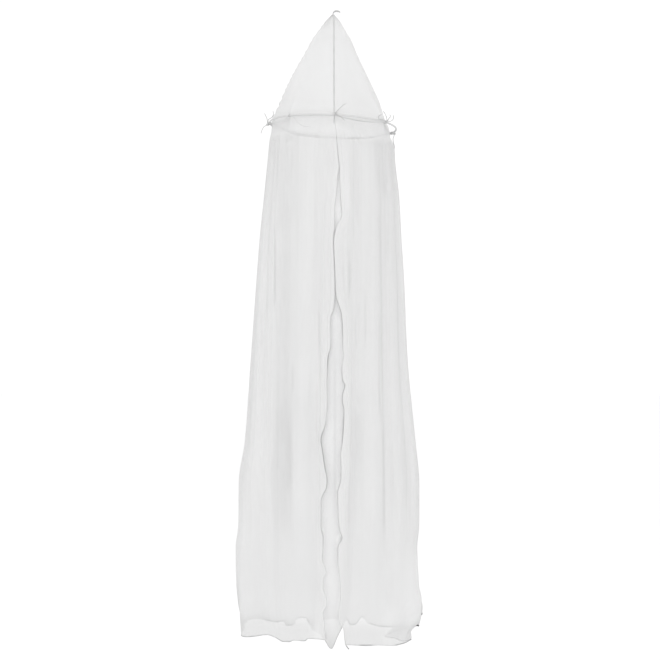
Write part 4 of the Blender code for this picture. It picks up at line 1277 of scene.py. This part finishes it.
def skirt_threads(points, place, fall, close, tone, sizes):
    """Cover and tone of the skirt. Its open share follows the falls, shuts where threads lie close
    or cloth is lapped, and opens in the pleat and along the seam at the back. Its tone gets a
    little painted light where it turns side on, in the pleat and under the waist in front, and
    painted shade at the foot."""
    close = close + RIM_CLOSE * (bell(place, RIM_REACH) + bell(place - len(FOLDS) - 1, RIM_REACH))
    fall = fall[:, None]
    close = np.clip(close + SEAM_CLOSE * bell(fall, SKIRT_SEAM_REACH), 0, 1)
    covers = (sizes.sheer, sizes.sheer, sizes.cover, sizes.cover, sizes.foot, sizes.foot)
    open_share = smooth(COVER_FALLS, 1 - np.array(covers), fall)
    back = rise(points[..., 1], *BACK_RISE)
    seam_open, seam_reach = BACK_SEAM_OPEN
    shut = BACK_WAIST_SHUT * back * rise(fall, *BACK_WAIST_RISE)
    open_share = np.maximum(open_share * (1 - shut), seam_open * back * bell(fall, seam_reach))
    low = rise(fall, *LOW_RISE)
    lap_x, lap_width = LAP_X
    lap = (low * bell(points[..., 0] - AXIS_X - lap_x, lap_width)
           * rise(points[..., 1], *LAP_RISE))
    pleat = low * window(place, *PLEAT_OPEN_SPAN)
    open_share = open_share * (1 - LAP_SHUT * lap) * (1 + PLEAT_OPEN * pleat)
    foot = rise(fall, *FOOT_RISE) * (1 - LAP_LIGHT * lap)
    side_on = rise(np.abs(outward_of(points)[..., 1]), *SKIRT_SIDE_ON)
    side_on = side_on * rise(fall, *SIDE_ON_RISE)
    waist_front = rise(fall, *WAIST_RISE) * (1 - back)
    tone = (tone * (1 + SIDE_ON_PAINTED_LIGHT * side_on) * (1 + PLEAT_PAINTED_LIGHT * pleat)
            * (1 - FOOT_SHADE * foot) * (1 + WAIST_PAINTED_LIGHT * waist_front))
    return 1 - open_share * (1 - close), tone


def scalloped(points, turn, fall, slant):
    """The cone with small scallops down its left side: the size of a sine of the slant, whose
    steps wander, times a bell round that side and a window down the fall."""
    wander, beat = SCALLOP_WANDER
    middle, reach = SCALLOP_TURN
    steps = slant / SCALLOP_LENGTH + wander * np.sin(slant * beat)
    lift = SCALLOP_DEPTH * (np.abs(np.sin(math.pi * steps)) - 0.5) * window(fall, *SCALLOP_SPAN)
    lift = lift[:, None] * bell(turn - middle, reach)[None, :]
    return points + outward_of(points, closed=True) * lift[..., None]


def gathers(terms, strands, fall):
    """Sum of the gathers' terms: each dies away as e to the minus fall over its reach."""
    return sum((even + stranded * strands) * np.exp(-fall / reach)
               for even, stranded, reach in terms)


def cone_threads(points, turn, fall, sizes):
    """Cover and tone of the cone. The gathered strands lie close under the tip and get painted
    shade there; the upper part and its left side get painted shade, and cloth that turns side on
    gets painted light."""
    fall = fall[:, None]
    strands = 0.5 + 0.5 * np.cos(np.radians(turn) * STRANDS + STRAND_START)
    close = gathers(CLOSE_GATHERS, strands, fall) + SEAM_CLOSE * bell(fall - 1.0, CONE_SEAM_REACH)
    cover = 1 - (1 - sizes.cover) * (1 - np.clip(close, 0, 1))
    left = rise(np.sin(np.radians(turn)), *LEFT_RISE)
    (shade, reach), (left_shade, left_reach) = TIP_SHADE, TIP_LEFT_SHADE
    tone = (1.0 - gathers(GATHER_PAINTED_SHADE, strands, fall) - shade * bell(fall, reach)
            - left_shade * bell(fall, left_reach) * left)
    side_on = rise(np.abs(outward_of(points, closed=True)[..., 1]), *CONE_SIDE_ON)
    tone = tone * (1 + SIDE_ON_PAINTED_LIGHT * side_on)
    return cover, tone * (1 - LEFT_FRONT_SHADE * window(turn, *LEFT_FRONT_SPAN))


def underlap_threads(points, fall, sizes):
    """Cover and tone of the underlap: more open at the waist, with painted light and shade down its
    drop, one long crease of painted shade and strips of painted light beside the skirt's two edges."""
    sheer = UNDERLAP_SHEER * sizes.sheer
    covers = np.array((sheer, sheer, sizes.cover, sizes.cover))
    cover = 1 - smooth(UNDERLAP_COVER_FALLS, 1 - covers, fall)[:, None]
    x = points[..., 0] - AXIS_X
    drop = -points[..., 2]
    crease_x, crease_width, dark = UNDERLAP_CREASE
    crease = bell(x - crease_x, crease_width) * window(drop, *UNDERLAP_CREASE_SPAN)
    beside = sum(bell(x - follow(edge, drop), BESIDE_WIDTH) for edge in (LEFT_EDGE, RIGHT_EDGE))
    tone = (follow(UNDERLAP_PAINTED_SHADING, drop) - dark * crease
            + BESIDE_PAINTED_LIGHT * beside * window(drop, *BESIDE_SPAN))
    return np.broadcast_to(cover, x.shape), tone


def cloth_uv(points, extra=0.0):
    """Texture places in metres: the middle row's run across and one column's run down."""
    across = lengths_along(points[len(points) // 2])
    down = lengths_along(points[:, points.shape[1] // 3])
    return np.stack(np.broadcast_arrays(across[None, :] + extra, down[:, None]), axis=-1)


def knot_center(knot, tie):
    """Middle of a tie's knot, measured outward, along the hoop and up from the rod."""
    return hoop_points(tie.turn) + np.array([knot.out, knot.along, knot.up]) @ hoop_frame(tie.turn)


def knot_halves(knot):
    """Half sizes of a knot: outward, along the hoop and up."""
    return np.array([knot.half_out, knot.half_along, knot.half_up])


def knot_exit(knot, tie, toward):
    """Point just outside a knot's ellipsoid, on the line from its middle towards a place."""
    center = knot_center(knot, tie)
    way = unit(np.asarray(toward) - center)
    local = hoop_frame(tie.turn) @ way
    return center + way * (1 / np.sqrt(np.sum((local / knot_halves(knot)) ** 2)) + EXIT_GAP)


# ------------------------------------------------------------------------------ operators
class CANOPY_OT_studio(bpy.types.Operator):
    """Sets up the camera, the pale floor and the soft lights"""

    bl_idname = "canopy.studio"
    bl_label = "Studio"

    def execute(self, context):
        scene = context.scene
        studio = scene.net_canopy_studio
        lens = bpy.data.cameras.new("Studio camera")
        lens.lens = studio.lens
        lens.sensor_width = SENSOR_WIDTH
        lens.clip_end = 100.0
        camera = bpy.data.objects.new("Studio camera", lens)
        camera.location = (AXIS_X + CAMERA_SIDE, -studio.distance, -studio.level)
        camera.rotation_euler = (math.pi / 2, 0.0, 0.0)
        scene.collection.objects.link(camera)
        scene.camera = camera

        mesh = bpy.data.meshes.new("Studio floor")
        corners = [(x * FLOOR_REACH, y * FLOOR_REACH, -studio.floor)
                   for x, y in ((-1, -1), (1, -1), (1, 1), (-1, 1))]
        mesh.from_pydata(corners, [], [(0, 1, 2, 3)])
        floor = bpy.data.objects.new("Studio floor", mesh)
        scene.collection.objects.link(floor)
        mesh.materials.append(new_finish("Studio floor", FLOOR_COLOR, FLOOR_ROUGHNESS)[0])

        world = bpy.data.worlds.new("Studio room")
        world.use_nodes = True
        glow = world.node_tree.nodes["Background"]
        fill(world.node_tree, glow, {"Color": (1.0, 1.0, 1.0, 1.0), "Strength": studio.sky})
        scene.world = world
        for name, setting, width, place, aim in LAMPS:
            lamp = bpy.data.lights.new(name, "AREA")
            lamp.energy = getattr(studio, setting)
            lamp.shape = "SQUARE"
            lamp.size = width
            holder = bpy.data.objects.new(name, lamp)
            way = np.array(aim) - np.array(place)
            flat = math.hypot(way[0], way[1])
            holder.location = place
            holder.rotation_euler = (math.atan2(flat, -way[2]), 0.0, math.atan2(-way[0], way[1]))
            holder.visible_camera = False
            scene.collection.objects.link(holder)
        scene.view_settings.view_transform = "Standard"
        scene.cycles.transparent_max_bounces = 48
        scene.cycles.diffuse_bounces = 8
        return {"FINISHED"}


class CANOPY_OT_free_ends(bpy.types.Operator):
    """Makes the free ends of the ties, each a loose cord from its knot"""

    bl_idname = "canopy.free_ends"
    bl_label = "Free Ends of the Ties"

    def execute(self, context):
        color = np.array(context.scene.net_canopy_finish.cord)
        made = loose_cord_finish("Loose tie cord", tuple(color))
        ties = {tie.name: tie for tie in TIES}
        knots = {knot.tie: knot for knot in KNOTS}
        for end in FREE_ENDS:
            route = np.array(end.route) + AXIS
            start = knot_exit(knots[end.tie], ties[end.tie], route[0])
            self.add(f"tie_{end.name}", np.vstack([start, route]), end.length, made)
        # The inner tail hangs inside the canopy, and its cord is a darker copy as painted shade.
        inner = loose_cord_finish("Inner tie cord", tuple(INNER_PAINTED_SHADE * color))
        self.add("tie_front_left_end", np.array(INNER_TAIL) + AXIS, INNER_TAIL_LENGTH, inner)
        return {"FINISHED"}

    def add(self, node, route, length, finish):
        """A round bevelled curve through the points of a route."""
        path = catmull(route, CORD_STEPS)
        curve = bpy.data.curves.new(f"{node}_cord", "CURVE")
        curve.dimensions = "3D"
        curve.bevel_depth = TIE_RADIUS
        curve.bevel_resolution = 3
        curve.use_fill_caps = True
        spline = curve.splines.new("POLY")
        spline.points.add(len(path) - 1)
        spline.points.foreach_set("co", np.column_stack([path, np.ones(len(path))]).ravel())
        spline.use_smooth = True
        curve.materials.append(finish)
        cord = bpy.data.objects.new(f"{node}_cord", curve)
        bpy.context.scene.collection.objects.link(cord)
        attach(cord, "root")
        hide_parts(node)


class CANOPY_OT_hoop(bpy.types.Operator):
    """Makes the round plastic rod and the sleeve that joins its ends"""

    bl_idname = "canopy.hoop"
    bl_label = "Hoop and Sleeve"

    def execute(self, context):
        sizes = context.scene.net_canopy_sizes
        finish = context.scene.net_canopy_finish
        middle = AXIS - (0.0, 0.0, HOOP_DROP)
        turn = JOIN_TURN + np.linspace(JOIN_HALF_GAP, 360 - JOIN_HALF_GAP, HOOP_STEPS)
        path = hoop_points(turn)
        rod = cord_part(path, path - middle, sizes.rod, ROD_SIDES)
        made = plastic_finish("Hoop plastic", tuple(finish.rod), ROD_ROUGHNESS)
        add_piece("hoop_rod", [rod], made, "hoop")
        share = np.linspace(-1, 1, SLEEVE_STEPS)
        path = hoop_points(JOIN_TURN + SLEEVE_TURN * share)
        lip = sizes.rod + SLEEVE_LIP
        radius = (lip + (sizes.sleeve - lip) * rise(np.abs(share), 1.0, -SLEEVE_ROUND)
                  - bells(SLEEVE_GROOVES, np.abs(share)))
        sleeve = cord_part(path, path - middle, radius, SLEEVE_SIDES)
        made = plastic_finish("Sleeve plastic", tuple(finish.sleeve), SLEEVE_ROUGHNESS)
        add_piece("sleeve", [sleeve], made, "hoop_sleeve")
        return {"FINISHED"}


class CANOPY_OT_ties(bpy.types.Operator):
    """Makes each tie: turns of cord round the rod, its knot, and a lead to each free end"""

    bl_idname = "canopy.ties"
    bl_label = "Ties and Knots"

    def execute(self, context):
        color = np.array(context.scene.net_canopy_finish.cord)
        # Lighter copies of the cord, as painted light: one for the ties, a paler one for the front
        # left tie.
        made = cord_finish("Tie cord", tuple(TIE_PAINTED_LIGHT * color), TIE_TWIST)
        pale = cord_finish("Pale tie cord", tuple(PALE_PAINTED_LIGHT * color), TIE_TWIST)
        ties = {tie.name: tie for tie in TIES}
        for knot in KNOTS:
            tie = ties[knot.tie]
            parts = [self.wrap(tie), self.knot(knot, tie)]
            parts += [self.lead(knot, tie, end.route[0])
                      for end in FREE_ENDS if end.tie == tie.name]
            cord = pale if tie.name == "front_left" else made
            add_piece(f"tie_{tie.name}_cord", parts, cord, f"tie_{tie.name}")
        return {"FINISHED"}

    def wrap(self, tie):
        """A helix round the rod, its turns one cord's width apart."""
        turns = np.linspace(0, WRAP_TURNS, WRAP_STEPS)
        angle = 2 * math.pi * turns
        out, along, up = hoop_frame(tie.turn)
        around = np.cos(angle)[:, None] * out + np.sin(angle)[:, None] * up
        shift = (turns - WRAP_TURNS / 2) * 2 * TIE_RADIUS
        path = hoop_points(tie.turn) + WRAP_RADIUS * around + shift[:, None] * along
        return cord_part(path, around, TIE_RADIUS)

    def knot(self, knot, tie):
        """A trefoil: sin t + 2 sin 2t along, cos t - 2 cos 2t up and -sin 3t outward, each scaled
        into the knot's half sizes less most of the cord's radius."""
        angle = np.linspace(KNOT_ENDS, 2 * math.pi - KNOT_ENDS, KNOT_STEPS)
        along = (np.sin(angle) + 2 * np.sin(2 * angle)) / KNOT_REACH[0]
        up = (np.cos(angle) - 2 * np.cos(2 * angle)) / KNOT_REACH[1]
        out = -np.sin(3 * angle)
        local = np.column_stack([out, along, up]) * (knot_halves(knot) - KNOT_INSET * TIE_RADIUS)
        path = knot_center(knot, tie) + local @ hoop_frame(tie.turn)
        return cord_part(path, hoop_frame(tie.turn)[0], TIE_RADIUS)

    def lead(self, knot, tie, place):
        """A straight run of cord from inside the knot to the start of one of its free ends."""
        center = knot_center(knot, tie)
        leaves = knot_exit(knot, tie, np.array(place) + AXIS)
        way = unit(leaves - center)
        share = np.linspace(LEAD_SHARE, 1.0, LEAD_STEPS)[:, None]
        path = center + (leaves + LEAD_PAST * way - center) * share
        return cord_part(path, np.cross(way, LEAD_FACING), LEAD_THIN * TIE_RADIUS)


class CANOPY_OT_hanging_loop(bpy.types.Operator):
    """Makes the small cord loop that the canopy hangs by, and the thread round the tip"""

    bl_idname = "canopy.hanging_loop"
    bl_label = "Hanging Loop"

    def execute(self, context):
        finish = context.scene.net_canopy_finish
        near = [(x, -y, z) for x, y, z in LOOP_SIDE]
        path = catmull(near + [LOOP_END] + list(reversed(LOOP_SIDE)), LOOP_STEPS)
        cord = cord_part(path, LOOP_FACING, LOOP_RADIUS, LOOP_SIDES)
        made = cord_finish("Loop cord", tuple(finish.loop), LOOP_TWIST)
        add_piece("loop_cord", [cord], made, "hanging_loop")
        turns = np.linspace(0, THREAD_TURNS, THREAD_STEPS)
        angle = 2 * math.pi * turns
        around = np.column_stack([np.cos(angle), np.sin(angle), np.zeros(len(angle))])
        path = AXIS - (0.0, 0.0, TIP_DROP + THREAD_DROP) + THREAD_RING * around
        path[:, 2] -= turns * THREAD_PITCH
        thread = cord_part(path, around, THREAD_RADIUS, THREAD_SIDES)
        made = cord_finish("Tip thread", tuple(finish.cord), THREAD_TWIST)
        add_piece("tip_binding", [thread], made)
        return {"FINISHED"}


class CANOPY_OT_cone(bpy.types.Operator):
    """Makes the cone of netting, its closing seam and the waist binding"""

    bl_idname = "canopy.cone"
    bl_label = "Cone Netting"

    def execute(self, context):
        sizes = context.scene.net_canopy_sizes
        finish = context.scene.net_canopy_finish
        fall = split_rows(*CONE_ROWS)
        turn = TIES[0].turn + np.linspace(0, 360, CONE_COLUMNS, endpoint=False)
        points = cone_base(turn, fall)
        reach = np.hypot(points[:, 0, 0] - AXIS_X, points[:, 0, 1])
        slant = lengths_along(np.column_stack([reach, points[:, 0, 2]]))
        points = scalloped(points, turn, fall, slant)
        fan = np.linspace(0, 2 * math.pi, len(turn) + 1) * WAIST_RADIUS / slant[-1]
        uv = 1.0 + slant[:, None, None] * np.stack([np.cos(fan), np.sin(fan)], axis=-1)
        cone = add_cloth("cone_netting", points, uv, True, *cone_threads(points, turn, fall, sizes),
                         netting_finish("Cone netting", tuple(finish.cone)), "cone_net")
        hem = tuple(finish.hem)
        seam = add_piece("cone_seam", [self.closing_seam(sizes)], hem_finish("Seam netting", hem))
        binding = add_piece("waist_binding", [self.binding()], hem_finish("Waist binding", hem))
        return {"FINISHED"}

    def closing_seam(self, sizes):
        """The upright seam at the front: the turn at each fall is the one whose point lies on a
        plumb line just right of the axis, by the arc sine of that line's place in the ring."""
        fall = np.linspace(0.0, SEAM_END, SEAM_STEPS)
        reach = WAIST_RADIUS * follow(CONE_SPREAD, fall)
        aside = AXIS_X + SEAM_SIDE - cone_middle(fall)
        turn = -np.degrees(np.arcsin(np.clip(aside / reach, -0.9, 0.9)))
        turns = np.linspace(-70.0, 70.0, 281)
        path = np.array([[np.interp(at, turns, row[:, k]) for k in range(3)]
                         for at, row in zip(turn, cone_base(turns, fall))])
        path[:, 1] -= SEAM_LIFT
        tone = 1.0 + SEAM_UNEVEN * np.sin(fall * SEAM_BEAT)
        return hem_part(path, SEAM_FACING, sizes.seam / 2, SEAM_THICK, tone)

    def binding(self):
        """A flat band over the seam between cone and skirt, following the waist. Its width and tone
        change towards the back by the cube of a half less half the turn's cosine; the tone is
        painted light in front and painted shade towards the back."""
        around = np.linspace(BINDING_HALF_GAP, 360 - BINDING_HALF_GAP, BINDING_STEPS)
        turn = TIES[0].turn + around
        path = waist(turn)
        away = (path - AXIS) * (1.0, 1.0, 0.0)
        back = (0.5 - 0.5 * np.cos(np.radians(turn))) ** 3
        wide = BINDING_WIDTH[0] + BINDING_WIDTH[1] * back + bells(BINDING_FOLD, turn)
        tone = BINDING_PAINTED_SHADING[0] - BINDING_PAINTED_SHADING[1] * back - bells(BINDING_SHADES, turn)
        return hem_part(path + unit(away) * BINDING_LIFT, away, wide, BINDING_THICK, tone)


class CANOPY_OT_skirt(bpy.types.Operator):
    """Makes the long skirt of netting with its hems"""

    bl_idname = "canopy.skirt"
    bl_label = "Skirt Netting"

    def execute(self, context):
        sizes = context.scene.net_canopy_sizes
        finish = context.scene.net_canopy_finish
        place = np.linspace(0, len(FOLDS) + 1, SKIRT_COLUMNS)
        fall = split_rows(*SKIRT_ROWS)
        points, close, tone = skirt_points(place, fall)
        cover, tone = skirt_threads(points, place, fall, close, tone, sizes)
        skirt = add_cloth("skirt_netting", points, cloth_uv(points), False, cover, tone,
                          netting_finish("Skirt netting", tuple(finish.skirt)), "skirt_net")
        made = hem_finish("Hem netting", tuple(finish.hem))
        normal = outward_of(points)
        sides = [self.side_hem(points[:, 0], normal[:, 0], fall, LEFT_HEM_PAINTED_SHADING, sizes),
                 self.side_hem(points[:, -1], normal[:, -1], fall, RIGHT_HEM_PAINTED_SHADING, sizes, True)]
        side_hems = add_piece("skirt_side_hems", sides, made)
        foot = self.foot_hem(points[-1], normal[-1], place, sizes)
        foot_hem = add_piece("skirt_foot_hem", [foot], made)
        return {"FINISHED"}

    def side_hem(self, edge, normal, fall, tones, sizes, tail=False):
        """The rolled hem down one edge of the opening, by its tables of width and tone, the tone
        being painted light and shade; the right one ends in a loose tail past the corner."""
        fine = np.linspace(0.002, 1.0, SIDE_HEM_STEPS)
        path, out = [np.stack([np.interp(fine, fall, line[:, k]) for k in range(3)], axis=-1)
                     for line in (edge, normal)]
        tone_and_painted_shading = follow(tones, -path[:, 2]) + HEM_UNEVEN * np.sin(fine * SIDE_BEAT)
        if tail:
            path = np.vstack([path, path[-1] + CORNER_TAIL])
            out = np.vstack([out, np.tile(out[-1], (len(CORNER_TAIL), 1))])
            tone_and_painted_shading = np.concatenate([tone_and_painted_shading, np.full(len(CORNER_TAIL), CORNER_TAIL_PAINTED_SHADE)])
        wide = sizes.hem / 2 * follow(SIDE_HEM_WIDTH, -path[:, 2])
        return hem_part(path, out, wide, HEM_THICK, tone_and_painted_shading)

    def foot_hem(self, edge, normal, place, sizes):
        """The rolled hem along the foot, by the tables of tone, which is painted light and shade;
        it is wider at the back.
        """
        path = edge + np.array([0.0, 0.0, FOOT_HEM_LIFT])
        x = path[:, 0] - AXIS_X
        front = path[:, 1] < 0
        tone_and_painted_shading = np.where(front, follow(FRONT_HEM_PAINTED_SHADING, x), follow(BACK_HEM_PAINTED_SHADING, x))
        start, end = PLEAT_OPEN_SPAN[:2]
        tone_and_painted_shading = np.where((place > start) & (place < end), PLEAT_HEM_PAINTED_SHADE, tone_and_painted_shading)
        tone_and_painted_shading = np.maximum(tone_and_painted_shading + HEM_UNEVEN * np.sin(place * FOOT_BEAT), HEM_DARKEST)
        wide = sizes.hem * np.where(front, *FOOT_HEM_SHARE)
        return hem_part(path, normal, wide, HEM_THICK, tone_and_painted_shading)


class CANOPY_OT_underlap(bpy.types.Operator):
    """Makes the narrow panel behind the opening, with its pointed foot"""

    bl_idname = "canopy.underlap"
    bl_label = "Underlap"

    def execute(self, context):
        sizes = context.scene.net_canopy_sizes
        finish = context.scene.net_canopy_finish
        fall = np.linspace(0, 1, UNDERLAP_ROWS)
        points = underlap_base(np.linspace(1, 0, UNDERLAP_COLUMNS), fall)
        cover, tone = underlap_threads(points, fall, sizes)
        lap = add_cloth("underlap_netting", points, cloth_uv(points, 0.4), False, cover, tone,
                        netting_finish("Underlap netting", tuple(finish.underlap)),
                        "front_underlap")
        normal = outward_of(points)
        outline = [hem_part(points[2:, side], normal[2:, side], *UNDERLAP_SIDE_HEM)
                   for side in (0, -1)]
        foot = points[-1] + np.array([0.0, 0.0, UNDERLAP_FOOT_LIFT])
        outline.append(hem_part(foot, normal[-1], *UNDERLAP_FOOT_HEM))
        hem = add_piece("underlap_hem", outline, hem_finish("Underlap hem", tuple(finish.hem)))
        return {"FINISHED"}


class CANOPY_PT_panel(bpy.types.Panel):
    """Lists the canopy's pieces, in the order they are made"""

    bl_idname = "CANOPY_PT_panel"
    bl_label = "Net Canopy"
    bl_space_type = "VIEW_3D"
    bl_region_type = "UI"
    bl_category = "Net Canopy"

    def draw(self, context):
        layout = self.layout
        for group in ("net_canopy_sizes", "net_canopy_finish", "net_canopy_studio"):
            box = layout.box()
            settings = getattr(context.scene, group)
            for name in settings.__annotations__:
                box.prop(settings, name)
        for operator in OPERATORS:
            layout.operator(operator.bl_idname)


OPERATORS = (
    CANOPY_OT_studio,
    CANOPY_OT_free_ends,
    CANOPY_OT_hoop,
    CANOPY_OT_ties,
    CANOPY_OT_hanging_loop,
    CANOPY_OT_cone,
    CANOPY_OT_skirt,
    CANOPY_OT_underlap,
)
CLASSES = (NetCanopySizes, NetCanopyFinish, NetCanopyStudio) + OPERATORS + (CANOPY_PT_panel,)


def register():
    """Registers the classes and hangs the settings on the scene."""
    for kind in CLASSES:
        bpy.utils.register_class(kind)
    bpy.types.Scene.net_canopy_sizes = bpy.props.PointerProperty(type=NetCanopySizes)
    bpy.types.Scene.net_canopy_finish = bpy.props.PointerProperty(type=NetCanopyFinish)
    bpy.types.Scene.net_canopy_studio = bpy.props.PointerProperty(type=NetCanopyStudio)


def unregister():
    """Takes the settings and the classes away again."""
    del bpy.types.Scene.net_canopy_sizes
    del bpy.types.Scene.net_canopy_finish
    del bpy.types.Scene.net_canopy_studio
    for kind in reversed(CLASSES):
        bpy.utils.unregister_class(kind)


def main():
    """Makes every piece in order."""
    register()
    bpy.ops.canopy.studio()
    bpy.ops.canopy.free_ends()
    bpy.ops.canopy.hoop()
    bpy.ops.canopy.ties()
    bpy.ops.canopy.hanging_loop()
    bpy.ops.canopy.cone()
    bpy.ops.canopy.skirt()
    bpy.ops.canopy.underlap()


if __name__ == "__main__":
    main()
